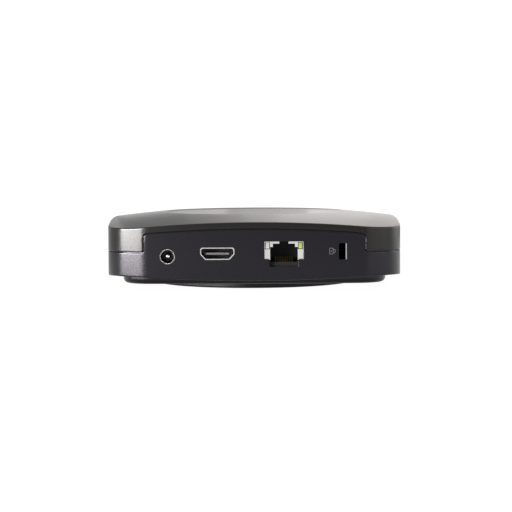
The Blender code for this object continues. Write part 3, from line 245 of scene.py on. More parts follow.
def make_cover():
    samples = border(SEAM_GAP)
    rim = dome_height(DISH_RADIUS)
    floor = rim - DISH_DEPTH
    inner = DISH_RADIUS - DISH_LIP
    outside = DISH_RADIUS + 0.5 * MM
    thickness = 2.0 * MM
    rings = [[(0.0, 0.0, floor)]]
    rings += [circle_ring(samples, inner * share, floor) for share in (0.3, 0.6, 0.85, 0.97)]
    lip_steps = 12
    for i in range(lip_steps + 1):
        share = i / lip_steps
        rise = (1 - math.cos(math.pi * share)) / 2
        radius = inner + DISH_LIP * share
        rings.append(circle_ring(samples, radius, floor + rise * (dome_height(radius) - floor)))
    rings.append(circle_ring(samples, outside, dome_height(outside)))
    dome_steps = 9
    for i in range(1, dome_steps + 1):
        share = i / dome_steps * 0.985
        ring = []
        for *_, base in samples:
            edge = plan_point(base, top_edge(base))
            start = edge.normalized() * outside
            flat = start.lerp(edge, share)
            ring.append((*flat, dome_height(flat.length)))
        rings.append(ring)
    edge_steps = 6
    for i in range(edge_steps + 1):
        ring = []
        for *_, base in samples:
            radius = top_edge(base)
            centre = plan_point(base, radius)
            slope = math.atan(2 * DOME_FALL * centre.length / HALF_WIDTH**2)
            z = dome_height(centre.length) - radius / math.cos(slope)
            turn = (math.pi / 2 - slope) * (1 - i / edge_steps)
            ring.append(spot(base, radius * (1 - math.cos(turn)), z + radius * math.sin(turn)))
        rings.append(ring)
    rings.append([(x, y, z - 0.35 * MM) for x, y, z in rings[-1]])
    rings.append(edge_ring(samples, SEAM_EDGE + 0.3 * MM, 0.0))
    rings += seam_rounding(samples, 1, SEAM_EDGE)
    rings.append(edge_ring(samples, 0.0, LIP_WALL))
    rings.append(plain_ring(samples, LIP_WALL, lambda r: dome_height(r) - thickness))
    rings.append([(0.0, 0.0, floor - thickness)])
    return loft("cover_shell", rings)


def make_housing():
    samples = border(0.0)
    floor_top = LEDGE_BOTTOM + WALL
    lip_height, lip_inset = 0.8 * MM, LIP_WALL + 0.2 * MM
    rings = [[(0.0, 0.0, floor_top)],
             plain_ring(samples, LEDGE_INSET + WALL, floor_top),
             plain_ring(samples, WALL, lambda r: belly_height(r) + WALL),
             edge_ring(samples, 0.0, WALL),
             edge_ring(samples, lip_height, WALL),
             edge_ring(samples, lip_height, lip_inset),
             edge_ring(samples, 0.0, lip_inset)]
    rings += list(reversed(seam_rounding(samples, -1, SEAM_EDGE)))
    rings.append(edge_ring(samples, -SEAM_EDGE - 0.3 * MM, 0.0))
    rings_top = [z for _, _, z in rings[-1]]
    bottom_edge = 0.5 * MM
    foot_line = plain_ring(samples, 0.0, lambda r: belly_height(r) + bottom_edge + 0.35 * MM)
    wall_steps = 7
    for i in range(1, wall_steps):
        share = i / wall_steps
        ring = []
        for (x, y, z), (s, _, _, base) in zip(foot_line, samples):
            top = rings_top[len(ring)]
            ring.append(spot(s + (base - s) * share, 0.0, top + (z - top) * share))
        rings.append(ring)
    rings.append(foot_line)
    edge_steps = 5
    for i in range(edge_steps + 1):
        turn = math.pi / 2 * i / edge_steps
        ring = []
        for *_, base in samples:
            z = belly_height(plan_point(base, bottom_edge).length)
            ring.append(spot(base, bottom_edge * (1 - math.cos(turn)),
                             z + bottom_edge * (1 - math.sin(turn))))
        rings.append(ring)
    rings.append(plain_ring(samples, 1.2 * MM, belly_height))
    rings.append(plain_ring(samples, LEDGE_INSET - 0.6 * MM, belly_height))
    ledge_centre = LEDGE_BOTTOM + LEDGE_EDGE
    ledge_steps = 9
    for i in range(-1, ledge_steps + 1):
        ring = []
        for *_, base in samples:
            start = belly_height(plan_point(base, LEDGE_INSET).length)
            lowest = math.asin(min(max((ledge_centre - start) / LEDGE_EDGE, 0.0), 1.0))
            turn = lowest + (math.pi / 2 - lowest) * max(i, 0) / ledge_steps
            z = ledge_centre - LEDGE_EDGE * math.sin(turn)
            if i < 0:
                z = max(z, start) + 0.02 * MM
            ring.append(spot(base, LEDGE_INSET + LEDGE_EDGE * (1 - math.cos(turn)), z))
        rings.append(ring)
    groove = LEDGE_BOTTOM + 0.6 * MM
    clear = 0.3 * MM
    rings.append(plain_ring(samples, LEDGE_INSET + LEDGE_EDGE + 0.8 * MM, LEDGE_BOTTOM))
    rings += [circle_ring(samples, FOOT_OUTER + clear, LEDGE_BOTTOM),
              circle_ring(samples, FOOT_OUTER + clear, groove),
              circle_ring(samples, FOOT_INNER - clear, groove),
              circle_ring(samples, FOOT_INNER - clear, LEDGE_BOTTOM),
              circle_ring(samples, 6.0 * MM, LEDGE_BOTTOM),
              [(0.0, 0.0, LEDGE_BOTTOM)]]
    return loft("housing_shell", rings)


# ----------------------------------------------------------- small builders
def add_piece(name, data):
    piece = bpy.data.objects.new(name, data)
    bpy.context.scene.collection.objects.link(piece)
    return piece


def offset_outline(points, grow):
    """A closed outline moved outwards by grow, for points listed anticlockwise."""
    moved = []
    count = len(points)
    for i in range(count):
        before, here, after = (Vector(points[i - 1]), Vector(points[i]),
                               Vector(points[(i + 1) % count]))
        one, two = (here - before).normalized(), (after - here).normalized()
        n1, n2 = Vector((one.y, -one.x)), Vector((two.y, -two.x))
        middle = (n1 + n2).normalized()
        moved.append(here + middle * grow / max(middle.dot(n1), 0.3))
    return moved


def rounded_outline(points, radius, steps=4):
    """Rounds every corner of a closed outline, convex or not."""
    result = []
    count = len(points)
    for i in range(count):
        here = Vector(points[i])
        back = (Vector(points[i - 1]) - here)
        ahead = (Vector(points[(i + 1) % count]) - here)
        reach = min(radius, back.length * 0.45, ahead.length * 0.45)
        start, end = here + back.normalized() * reach, here + ahead.normalized() * reach
        for j in range(steps + 1):
            t = j / steps
            result.append(start * (1 - t) ** 2 + here * 2 * t * (1 - t) + end * t**2)
    return result


def box_outline(x, z, half_x, half_z):
    return [(x - half_x, z - half_z), (x + half_x, z - half_z),
            (x + half_x, z + half_z), (x - half_x, z + half_z)]


def disc_outline(x, z, radius, steps=40):
    return [(x + radius * math.cos(2 * math.pi * i / steps),
             z + radius * math.sin(2 * math.pi * i / steps)) for i in range(steps)]


def wall_y(x):
    """Distance of the rear wall from the centre plane at a place across it."""
    tangent = BOW * math.sin(SIDE_TURN)
    if abs(x) <= tangent:
        return math.sqrt(BOW**2 - x**2) - SIDE_REACH
    return CENTRE + math.sqrt(CORNER**2 - (abs(x) - CENTRE) ** 2)


def skin(bm, rings):
    """Faces between equal rings of points, with both ends capped."""
    made = [[bm.verts.new(p) for p in ring] for ring in rings]
    count = len(made[0])
    for one, two in zip(made, made[1:]):
        for i in range(count):
            j = (i + 1) % count
            bm.faces.new((one[i], one[j], two[j], two[i]))
    bm.faces.new(list(reversed(made[0])))
    bm.faces.new(made[-1])


def mouth(bm, outline, depth, chamfer, side=1):
    """A cutter with a bevelled rim, for an opening in the rear (1) or front (-1) wall."""
    rings = []
    for grow, out in ((0.0, -depth), (0.0, -chamfer), (chamfer, 0.0), (2 * chamfer, chamfer),
                      (2 * chamfer, depth)):
        points = outline if grow == 0.0 else offset_outline(outline, grow)
        rings.append([(x, side * (wall_y(x) + out), z) for x, z in points])
    skin(bm, rings)


def prism(bm, outline, low, high, turn=0.0, shift=(0.0, 0.0)):
    """An upright prism, turned about its own middle and then moved."""
    cos, sin = math.cos(turn), math.sin(turn)
    flat = [(x * cos - y * sin + shift[0], x * sin + y * cos + shift[1]) for x, y in outline]
    skin(bm, [[(x, y, low) for x, y in flat], [(x, y, high) for x, y in flat]])


def mesh_from(name, fill):
    bm = bmesh.new()
    fill(bm)
    bmesh.ops.recalc_face_normals(bm, faces=bm.faces)
    data = bpy.data.meshes.new(name)
    bm.to_mesh(data)
    bm.free()
    return data


def baked(piece):
    """Applies a piece's modifiers to its mesh."""
    bpy.context.view_layer.update()
    graph = bpy.context.evaluated_depsgraph_get()
    data = bpy.data.meshes.new_from_object(piece.evaluated_get(graph))
    piece.modifiers.clear()
    piece.data = data
    return piece


def carved(piece, cutter_data):
    cutter = add_piece(f"{piece.name}_cutter", cutter_data)
    cut = piece.modifiers.new("openings", "BOOLEAN")
    cut.operation = "DIFFERENCE"
    cut.solver = "EXACT"
    cut.object = cutter
    baked(piece)
    bpy.data.objects.remove(cutter)
    return piece


def smooth(piece, degrees):
    piece.data.shade_smooth()
    piece.data.set_sharp_from_angle(angle=math.radians(degrees))
    return piece


# ----------------------------------------------------- places of the sockets
dc_low, dc_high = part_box("dc_jack_sleeve")
hdmi_low, hdmi_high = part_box("hdmi_shell")
lan_low, lan_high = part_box("ethernet_shield")
lock_low, lock_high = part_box("lock_plate")
window_low, window_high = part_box("front_window")
reset_low, reset_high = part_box("reset_button")
DC_X, DC_Z = (dc_low.x + dc_high.x) / 2, (dc_low.z + dc_high.z) / 2
DC_RADIUS = (dc_high.x - dc_low.x) / 2
HDMI_X = (hdmi_low.x + hdmi_high.x) / 2
LAN_X, LAN_Z = (lan_low.x + lan_high.x) / 2, lan_low.z
LOCK_X, LOCK_Z = (lock_low.x + lock_high.x) / 2, 17.05 * MM
LOCK_HALF, LOCK_TALL = 1.68 * MM, 3.5 * MM     # half the slot's width and height
MOUTH_DEPTH = 6 * MM            # how far an opening's cutter goes in: past the wall


def hdmi_section(grow):
    half = (hdmi_high.x - hdmi_low.x) / 2
    foot, rise, nick = 5.15 * MM, 2.3 * MM, 0.6 * MM
    low, high = hdmi_low.z, hdmi_high.z
    points = [(HDMI_X - foot, low), (HDMI_X + foot, low), (HDMI_X + half, low + rise),
              (HDMI_X + half, high - nick), (HDMI_X + half - nick, high),
              (HDMI_X - half + nick, high), (HDMI_X - half, high - nick),
              (HDMI_X - half, low + rise)]
    return offset_outline(points, grow)


def lan_window():
    narrow, wide = 6.2 * MM, 8.3 * MM
    low, knee, top = LAN_Z, LAN_Z + 3.2 * MM, LAN_Z + 10.8 * MM
    return [(LAN_X - narrow, low), (LAN_X + narrow, low), (LAN_X + narrow, knee),
            (LAN_X + wide, knee), (LAN_X + wide, top), (LAN_X - wide, top),
            (LAN_X - wide, knee), (LAN_X - narrow, knee)]


def cut_sockets(bm):
    rim = 0.04 * MM
    mouth(bm, disc_outline(DC_X, DC_Z, DC_RADIUS + 0.03 * MM), 2 * MOUTH_DEPTH, rim)
    mouth(bm, rounded_outline(hdmi_section(0.07 * MM), 0.3 * MM), MOUTH_DEPTH, rim)
    mouth(bm, rounded_outline(box_outline(LOCK_X, LOCK_Z, LOCK_HALF, LOCK_TALL), 0.3 * MM),
          MOUTH_DEPTH, rim)
    window = box_outline((window_low.x + window_high.x) / 2, (window_low.z + window_high.z) / 2,
                         8.0 * MM, 2.0 * MM)
    mouth(bm, rounded_outline(window, 1.2 * MM), MOUTH_DEPTH, 0.12 * MM, -1)


def cut_lan_window(bm):
    mouth(bm, rounded_outline(lan_window(), 0.25 * MM), MOUTH_DEPTH, 0.06 * MM)


def cut_lan_pocket(bm):
    """Room behind the wall for the network socket and its mouth."""
    pocket = LAN_Z - 2.5 * MM
    roof = lan_high.z + 1.0 * MM
    back, front = 40 * MM, 63.17 * MM
    skin(bm, [[(LAN_X + side * 9.0 * MM, y, z)
               for side, z in ((-1, pocket), (1, pocket), (1, roof), (-1, roof))]
              for y in (back, front)])


def cut_underside(bm):
    """The vent slots in the four corners, the label's recess and the reset button's hole."""
    vents, pitch, longest, shorter, half_slot = 5, 4.0 * MM, 22.0 * MM, 2.0 * MM, 0.8 * MM
    for corner in range(4):
        angle = math.pi / 4 + corner * math.pi / 2
        for i in range(vents):
            half = (longest - shorter * i) / 2
            distance = FOOT_OUTER + pitch * (i + 1)
            slot = rounded_outline(box_outline(0, 0, half_slot, half), 0.78 * MM, 6)
            prism(bm, slot, 0.0, 6.4 * MM, angle,
                  (distance * math.cos(angle), distance * math.sin(angle)))
    label = rounded_outline(box_outline(0, 8.0 * MM, 20.3 * MM, 13.3 * MM), 2.2 * MM, 6)
    prism(bm, label, 0.0, LEDGE_BOTTOM + 0.5 * MM)
    button_x, button_y = (reset_low.x + reset_high.x) / 2, (reset_low.y + reset_high.y) / 2
    prism(bm, disc_outline(0.0, 0.0, 2.9 * MM), 0.0, 6.5 * MM, 0.0, (button_x, button_y))


def turned(name, profile, steps):
    """A closed ring turned about Z from a closed profile of (radius, height)."""
    def fill(bm):
        rings = []
        for i in range(steps):
            turn = 2 * math.pi * i / steps
            rings.append([bm.verts.new((r * math.cos(turn), r * math.sin(turn), z))
                          for r, z in profile])
        count = len(profile)
        for i in range(steps):
            one, two = rings[i], rings[(i + 1) % steps]
            for j in range(count):
                k = (j + 1) % count
                bm.faces.new((one[j], one[k], two[k], two[j]))
    return add_piece(name, mesh_from(name, fill))


def foot_profile():
    low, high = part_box("foot_ring")
    top, edge, steps = high.z, 0.75 * MM, 6
    points = [(FOOT_OUTER, top)]
    for i in range(steps + 1):
        turn = math.pi / 2 * i / steps
        points.append((FOOT_OUTER - edge + edge * math.cos(turn), edge - edge * math.sin(turn)))
    for i in range(steps + 1):
        turn = math.pi / 2 * i / steps
        points.append((FOOT_INNER + edge - edge * math.sin(turn), edge - edge * math.cos(turn)))
    points.append((FOOT_INNER, top))
    return points


# ---------------------------------------------------------------- materials
class Look:
    """A Principled material whose colour, gloss and relief come from noise in object space."""

    def __init__(self, name):
        self.material = bpy.data.materials.new(name)
        self.material.use_nodes = True
        self.tree = self.material.node_tree
        self.shader = self.tree.nodes["Principled BSDF"]
        self.place = self.tree.nodes.new("ShaderNodeTexCoord")

    def node(self, kind):
        return self.tree.nodes.new(kind)

    def link(self, source, target):
        self.tree.links.new(source, target)

    def noise(self, scale, detail=3.0, roughness=0.5):
        made = self.node("ShaderNodeTexNoise")
        made.inputs["Scale"].default_value = scale
        made.inputs["Detail"].default_value = detail
        made.inputs["Roughness"].default_value = roughness
        self.link(self.place.outputs["Object"], made.inputs["Vector"])
        return made.outputs["Fac"]

    def ramp(self, factor, stops):
        made = self.node("ShaderNodeValToRGB")
        made.color_ramp.elements[0].position = stops[0][0]
        made.color_ramp.elements[0].color = (*stops[0][1], 1.0)
        made.color_ramp.elements[1].position = stops[-1][0]
        made.color_ramp.elements[1].color = (*stops[-1][1], 1.0)
        for position, colour in stops[1:-1]:
            made.color_ramp.elements.new(position).color = (*colour, 1.0)
        self.link(factor, made.inputs["Fac"])
        return made.outputs["Color"]

    def span(self, factor, low, high):
        made = self.node("ShaderNodeMapRange")
        made.inputs["From Min"].default_value = 0.3
        made.inputs["From Max"].default_value = 0.7
        made.inputs["To Min"].default_value = low
        made.inputs["To Max"].default_value = high
        self.link(factor, made.inputs["Value"])
        return made.outputs["Result"]

    def bump(self, height, strength, distance, under=None):
        made = self.node("ShaderNodeBump")
        made.inputs["Strength"].default_value = strength
        made.inputs["Distance"].default_value = distance
        self.link(height, made.inputs["Height"])
        if under:
            self.link(under, made.inputs["Normal"])
        return made.outputs["Normal"]

    def set(self, **values):
        for name, value in values.items():
            self.shader.inputs[name.replace("_", " ")].default_value = value


def varied(name, colour, spread=0.15, roughness=0.4, rough_spread=0.08, scale=120.0,
           grain=2500.0, relief=0.15, depth=0.00004, **values):
    """The plain recipe: slightly mottled colour, uneven gloss and a fine grain."""
    look = Look(name)
    darker = tuple(c * (1 - spread) for c in colour)
    lighter = tuple(min(c * (1 + spread), 1.0) for c in colour)
    look.link(look.ramp(look.noise(scale, 4.0), [(0.3, darker), (0.7, lighter)]),
              look.shader.inputs["Base Color"])
    look.link(look.span(look.noise(scale * 0.4, 3.0), roughness - rough_spread,
                        roughness + rough_spread), look.shader.inputs["Roughness"])
    look.link(look.bump(look.noise(grain, 2.0), relief, depth), look.shader.inputs["Normal"])
    look.set(**values)
    return look.material


def case_plastic(name, colour, roughness):
    """Satin moulded plastic: fine spark-eroded grain, faint handling marks."""
    look = Look(name)
    darker, lighter = tuple(c * 0.86 for c in colour), tuple(c * 1.14 for c in colour)
    look.link(look.ramp(look.noise(2400.0, 2.0), [(0.35, darker), (0.65, lighter)]),
              look.shader.inputs["Base Color"])
    marks = look.noise(22.0, 5.0, 0.6)
    look.link(look.span(marks, roughness - 0.012, roughness + 0.014),
              look.shader.inputs["Roughness"])
    coarse = look.bump(look.noise(900.0, 2.0), 0.03, 0.00006)
    look.link(look.bump(look.noise(3200.0, 1.0), 0.05, 0.00003, coarse),
              look.shader.inputs["Normal"])
    return look


cover_look = case_plastic("cover_plastic", (0.0088, 0.0082, 0.0080), 0.23)
cover_look.set(IOR=1.345, Specular_Tint=(1.0, 0.975, 0.95, 1.0))
panel_look = case_plastic("housing_plastic", (0.0074, 0.0065, 0.0094), 0.225)
panel_look.set(IOR=1.34, Specular_Tint=(0.97, 0.925, 1.0, 1.0))

RUBBER = varied("foot_rubber", (0.008, 0.008, 0.009), 0.2, 0.34, 0.05, 60, 1500, 0.1, IOR=1.36)
LABEL = varied("label_paper", (0.62, 0.62, 0.60), 0.04, 0.55, 0.08, 300, 4000, 0.12)
STEEL = varied("zinc_steel", (0.60, 0.60, 0.62), 0.08, 0.30, 0.08, 400, 3000, 0.1, Metallic=1.0)
TIN = varied("tin_plate", (0.70, 0.70, 0.69), 0.05, 0.22, 0.06, 300, 2500, 0.06, Metallic=1.0)
GOLD = varied("gold_plate", (0.83, 0.60, 0.24), 0.06, 0.22, 0.05, 500, 3000, 0.05, Metallic=1.0)
NICKEL = varied("nickel_contact", (0.86, 0.85, 0.82), 0.05, 0.22, 0.05, 500, 3000, 0.05,
                Metallic=1.0)
DULL_NICKEL = varied("dull_nickel", (0.50, 0.49, 0.47), 0.08, 0.24, 0.05, 500, 3000, 0.05,
                     Metallic=1.0)
ALUMINIUM = varied("anodised_aluminium", (0.55, 0.56, 0.57), 0.08, 0.38, 0.06, 200, 1500, 0.15,
                   Metallic=1.0)
CHIP = varied("chip_epoxy", (0.016, 0.016, 0.017), 0.2, 0.5, 0.08, 300, 3000, 0.25)
PAD = varied("thermal_silicone", (0.22, 0.33, 0.45), 0.1, 0.75, 0.06, 150, 1500, 0.3)
NYLON = varied("jack_nylon", (0.009, 0.009, 0.010), 0.2, 0.36, 0.06, 200, 2500, 0.15)
# The network socket's body is black plastic, drawn darker than the other jack nylon: partly its
# own colour, partly painted shade for its sill, which lies in shadow in its recess.
JACK_BLACK_AND_SHADE = varied("jack_black", (0.004, 0.004, 0.0045), 0.2, 0.5, 0.06, 200, 2500, 0.15, IOR=1.3)
GREY_PLASTIC = varied("switch_plastic", (0.05, 0.05, 0.052), 0.1, 0.45, 0.05, 300, 2500, 0.15)
SLEEVE = varied("capacitor_sleeve", (0.02, 0.03, 0.08), 0.1, 0.35, 0.05, 200, 1500, 0.1)
SMOKED = varied("smoked_window", (0.006, 0.004, 0.005), 0.3, 0.07, 0.02, 60, 800, 0.02,
                IOR=1.25)
# The lamp lenses' colours are their own; their emission is painted light, a faint glow that stands
# in for light on lenses sitting shaded in their recess.
LAMP_CLEAR_PAINTED_GLOW = varied("lamp_clear", (0.86, 0.85, 0.80), 0.06, 0.18, 0.04, 700, 2000, 0.05,
                    Emission_Color=(1.0, 0.98, 0.93, 1.0), Emission_Strength=0.22)
LAMP_GREEN_PAINTED_GLOW = varied("lamp_green", (0.72, 0.80, 0.16), 0.08, 0.16, 0.04, 700, 2000, 0.05,
                    Emission_Color=(0.80, 0.90, 0.12, 1.0), Emission_Strength=0.16)
# The gold is the contacts' own colour; their faint emission is painted light, so that they show in
# the shaded cavity of the network socket.
CONTACT_GOLD_PAINTED_GLOW = varied("contact_gold_painted_glow", (0.83, 0.60, 0.24), 0.06, 0.22, 0.05, 500, 3000, 0.05,
                      Metallic=1.0, Emission_Color=(0.80, 0.60, 0.28, 1.0),
                      Emission_Strength=0.022)
# A light grey matt strip on one side of the lock slot: a painted highlight on the slot's lit edge.
SLOT_EDGE_PAINTED_HIGHLIGHT = varied("slot_painted_highlight", (0.50, 0.50, 0.51), 0.06, 0.6, 0.05, 500, 3000, 0.1,
                   Specular_IOR_Level=0.05)
TONGUE_GREY = varied("blade_plastic", (0.26, 0.26, 0.27), 0.12, 0.35, 0.05, 300, 2500, 0.1)
PRINT = varied("pad_print_grey", (0.17, 0.17, 0.19), 0.12, 0.55, 0.05, 900, 4000, 0.15)


def board_look():
    """Solder mask over copper: faint tracks and pads show through the green."""
    look = Look("solder_mask")
    tracks = look.node("ShaderNodeTexBrick")
    tracks.inputs["Scale"].default_value = 260.0
    tracks.inputs["Mortar Size"].default_value = 0.035
    look.link(look.place.outputs["Object"], tracks.inputs["Vector"])
    colour = look.ramp(tracks.outputs["Fac"],
                       [(0.0, (0.010, 0.070, 0.030)), (1.0, (0.020, 0.115, 0.050))])
    look.link(colour, look.shader.inputs["Base Color"])
    look.link(look.span(look.noise(80.0), 0.25, 0.38), look.shader.inputs["Roughness"])
    look.link(look.bump(tracks.outputs["Fac"], 0.2, 0.00004), look.shader.inputs["Normal"])
    return look.material


BOARD = board_look()

NODE_LOOKS = {
    "rating_label": LABEL, "main_board": BOARD, "antenna_left": BOARD, "antenna_right": BOARD,
    "heat_sink": ALUMINIUM, "thermal_pad": PAD, "reset_button": RUBBER,
    "reset_switch_plunger": GREY_PLASTIC, "front_window": SMOKED, "lock_plate": STEEL,
    "hdmi_shell": TIN, "ethernet_shield": TIN,
    "wifi_shield": TIN, "crystal": TIN, "ethernet_contacts": CONTACT_GOLD_PAINTED_GLOW, "dc_jack_spring": GOLD,
    "ethernet_link_lamp": LAMP_CLEAR_PAINTED_GLOW, "ethernet_activity_lamp": LAMP_GREEN_PAINTED_GLOW,
    "status_led": LAMP_CLEAR_PAINTED_GLOW, "status_light_pipe": LAMP_CLEAR_PAINTED_GLOW,
    "dc_jack_body": NYLON, "hdmi_insulator": NYLON, "ethernet_body": JACK_BLACK_AND_SHADE,
    "antenna_lead_left": NYLON, "antenna_lead_right": NYLON,
    "bulk_capacitor_1": SLEEVE, "bulk_capacitor_2": SLEEVE,
}

for node_name, node in nodes.items():
    look = NODE_LOOKS.get(node_name, STEEL if "screw" in node_name else CHIP)
    node.data.materials.clear()
    node.data.materials.append(look)


def dressed(piece, material, body="case", stands_for=None):
    piece.data.materials.clear()
    piece.data.materials.append(material)
    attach(piece, body)
    if stands_for:
        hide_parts(*stands_for)
    return piece


# ------------------------------------------------------------------- pieces
cover = smooth(make_cover(), 38)
dressed(cover, cover_look.material, stands_for=["top_cover"])

housing = make_housing()
for fill in (cut_lan_pocket, cut_sockets, cut_lan_window, cut_underside):
    carved(housing, mesh_from("openings", fill))
smooth(housing, 32)
weigh = housing.modifiers.new("weighted_normals", "WEIGHTED_NORMAL")
weigh.keep_sharp = True
dressed(housing, panel_look.material, stands_for=["bottom_housing"])

foot = smooth(turned("foot_shell", foot_profile(), 160), 40)
dressed(foot, RUBBER, stands_for=["foot_ring"])


pin_low, pin_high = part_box("dc_jack_pin")
PIN_RADIUS = (pin_high.x - pin_low.x) / 2


def fill_pin(bm):
    """The jack's centre pin, with a rounded tip."""
    rings = []
    steps, turns = 8, 36
    tip = pin_high.y - 1.2 * MM
    for i in range(steps + 1):
        turn = math.pi / 2 * i / steps
        rings.append((PIN_RADIUS * max(math.sin(turn), 0.02),
                      tip - PIN_RADIUS * (1 - math.cos(turn))))
    rings.append((PIN_RADIUS, pin_low.y))
    skin(bm, [[(DC_X + r * math.cos(2 * math.pi * k / turns), y,
                DC_Z + r * math.sin(2 * math.pi * k / turns)) for k in range(turns)]
              for r, y in rings])


pin = smooth(add_piece("jack_pin_shell", mesh_from("jack_pin_shell", fill_pin)), 40)
dressed(pin, DULL_NICKEL, stands_for=["dc_jack_pin"])

SLEEVE_WALL = 0.45 * MM
SLEEVE_LENGTH = dc_high.y - dc_low.y


def sleeve_profile():
    """The jack's sleeve, with a bevelled mouth."""
    edge = 0.06 * MM
    return [(DC_RADIUS, 0.0), (DC_RADIUS, SLEEVE_LENGTH - edge), (DC_RADIUS - edge, SLEEVE_LENGTH),
            (DC_RADIUS - SLEEVE_WALL / 2, SLEEVE_LENGTH),
            (DC_RADIUS - SLEEVE_WALL, SLEEVE_LENGTH - SLEEVE_WALL), (DC_RADIUS - SLEEVE_WALL, 0.0)]


sleeve = turned("jack_sleeve_shell", sleeve_profile(), 96)
sleeve.data.transform(Matrix.Translation((DC_X, dc_low.y, DC_Z))
                      @ Matrix.Rotation(-math.pi / 2, 4, "X"))
dressed(smooth(sleeve, 30), DULL_NICKEL, stands_for=["dc_jack_sleeve"])

TONGUE_Z = hdmi_low.z + 2.55 * MM
TONGUE_Y = hdmi_high.y - 1.25 * MM


def fill_tongue(bm):
    """The thin blade that the contacts lie on."""
    half, thick = 4.7 * MM, 0.42 * MM
    blade = rounded_outline(box_outline(HDMI_X, TONGUE_Z, half, thick), 0.2 * MM)
    bevel = 0.12 * MM
    front = rounded_outline(box_outline(HDMI_X, TONGUE_Z, half - bevel, thick - bevel), bevel)
    skin(bm, [[(x, TONGUE_Y - 7.0 * MM, z) for x, z in blade],
              [(x, TONGUE_Y - bevel, z) for x, z in blade],
              [(x, TONGUE_Y, z) for x, z in front]])


def fill_tongue_contacts(bm):
    pitch, count, half = 0.95 * MM, 10, 0.3 * MM
    z = TONGUE_Z + 0.45 * MM
    low, high = z - 0.08 * MM, z + 0.04 * MM
    for i in range(count):
        x = HDMI_X + (i - (count - 1) / 2) * pitch
        section = [(x - half, low), (x + half, low), (x + half, high), (x - half, high)]
        skin(bm, [[(px, y, pz) for px, pz in section]
                  for y in (TONGUE_Y - 6.5 * MM, TONGUE_Y - 0.25 * MM)])


dressed(smooth(add_piece("hdmi_blade", mesh_from("hdmi_blade", fill_tongue)), 40), TONGUE_GREY)
dressed(add_piece("hdmi_blade_contacts", mesh_from("hdmi_blade_contacts", fill_tongue_contacts)),
        NICKEL)


def fill_lock_icon(bm):
    """A plain padlock lying on its side, printed on the wall beside the lock slot."""
    def printed(outline):
        skin(bm, [[(x, wall_y(x) + out, z) for x, z in outline]
                  for out in (-0.05 * MM, 0.02 * MM)])

    x, z = LOCK_X + 4.25 * MM, LOCK_Z + 0.15 * MM
    body_x = x + 0.65 * MM
    body_deep, body_wide = 0.75 * MM, 1.2 * MM      # half sizes
    line, hole = 0.2 * MM, 0.22 * MM
    for side in (-1, 1):
        printed(box_outline(body_x, z + side * body_wide, body_deep, line / 2))
        printed(box_outline(body_x + side * body_deep, z, line / 2, body_wide - line / 2))
    printed(box_outline(body_x, z, hole, hole))
    shackle_x, outer, inner, steps = x - 0.2 * MM, 0.95 * MM, 0.72 * MM, 14
    arc = []
    for radius, order in ((outer, range(steps + 1)), (inner, range(steps, -1, -1))):
        for i in order:
            turn = -math.pi / 2 + math.pi * i / steps
            arc.append((shackle_x - radius * math.cos(turn), z - radius * math.sin(turn)))
    printed(arc)


dressed(add_piece("lock_icon", mesh_from("lock_icon", fill_lock_icon)), PRINT)


def fill_lock_lip(bm):
    """A light grey strip on the slot's edge that faces the light: a painted highlight."""
    x, wide, fall, deep = LOCK_X - LOCK_HALF - 0.05 * MM, 0.48 * MM, 0.2 * MM, 0.9 * MM
    front = wall_y(x) - 0.12 * MM
    half = LOCK_TALL - 0.05 * MM
    corners = [(x, front), (x, front - deep), (x + wide, front - deep), (x + wide, front - fall)]
    skin(bm, [[(px, py, LOCK_Z + z) for px, py in corners] for z in (-half, half)])


dressed(add_piece("lock_lip", mesh_from("lock_lip", fill_lock_lip)), SLOT_EDGE_PAINTED_HIGHLIGHT)


def soften(node_name, width):
    """Rounds the machined edges of a CAD piece as it is drawn."""
    bevel = nodes[node_name].modifiers.new("soft_edges", "BEVEL")
    bevel.width = width
    bevel.segments = 2
    bevel.limit_method = "ANGLE"
    bevel.angle_limit = math.radians(40)


for node_name in ("hdmi_shell", "hdmi_insulator", "front_window", "lock_plate"):
    soften(node_name, 0.12 * MM)


# -------------------------------------------------------------------- stage
def area_light(name, place, target, size, power, colour=(1.0, 1.0, 1.0)):
    data = bpy.data.lights.new(name, "AREA")
    data.shape = "RECTANGLE"
    data.size, data.size_y = size
    data.energy = power
    data.color = colour
    light = bpy.data.objects.new(name, data)
    light.location = place
    light.rotation_euler = (Vector(target) - Vector(place)).to_track_quat("-Z", "Y").to_euler()
    bpy.context.scene.collection.objects.link(light)
    return light


def studio_world(shown, ambient):
    """White behind the object, and a dimmer even surround for everything else."""
    world = bpy.data.worlds.new("studio")
    world.use_nodes = True
    tree = world.node_tree
    output = tree.nodes["World Output"]
    surround = tree.nodes["Background"]
    surround.inputs["Color"].default_value = (1.0, 1.0, 1.0, 1.0)
    surround.inputs["Strength"].default_value = ambient
    backdrop = tree.nodes.new("ShaderNodeBackground")
    backdrop.inputs["Strength"].default_value = shown
    path = tree.nodes.new("ShaderNodeLightPath")
    choose = tree.nodes.new("ShaderNodeMixShader")
    tree.links.new(path.outputs["Is Camera Ray"], choose.inputs["Fac"])
    tree.links.new(surround.outputs["Background"], choose.inputs[1])
    tree.links.new(backdrop.outputs["Background"], choose.inputs[2])
    tree.links.new(choose.outputs["Shader"], output.inputs["Surface"])
    backdrop.inputs["Color"].default_value = (1.0, 1.0, 1.0, 1.0)
    return world


bpy.context.scene.world = studio_world(shown=1.1, ambient=0.43)

left = area_light("left_softbox", (0.470, 0.335, 0.085), (0.055, 0.055, 0.085), (0.61, 0.17), 20.6)
overhead = area_light("overhead_softbox", (0.0, 0.35, 1.3), (0.0, 0.0, 0.0), (1.6, 1.6), 11.0)
left.visible_diffuse = False
studio_lights = [left, overhead]

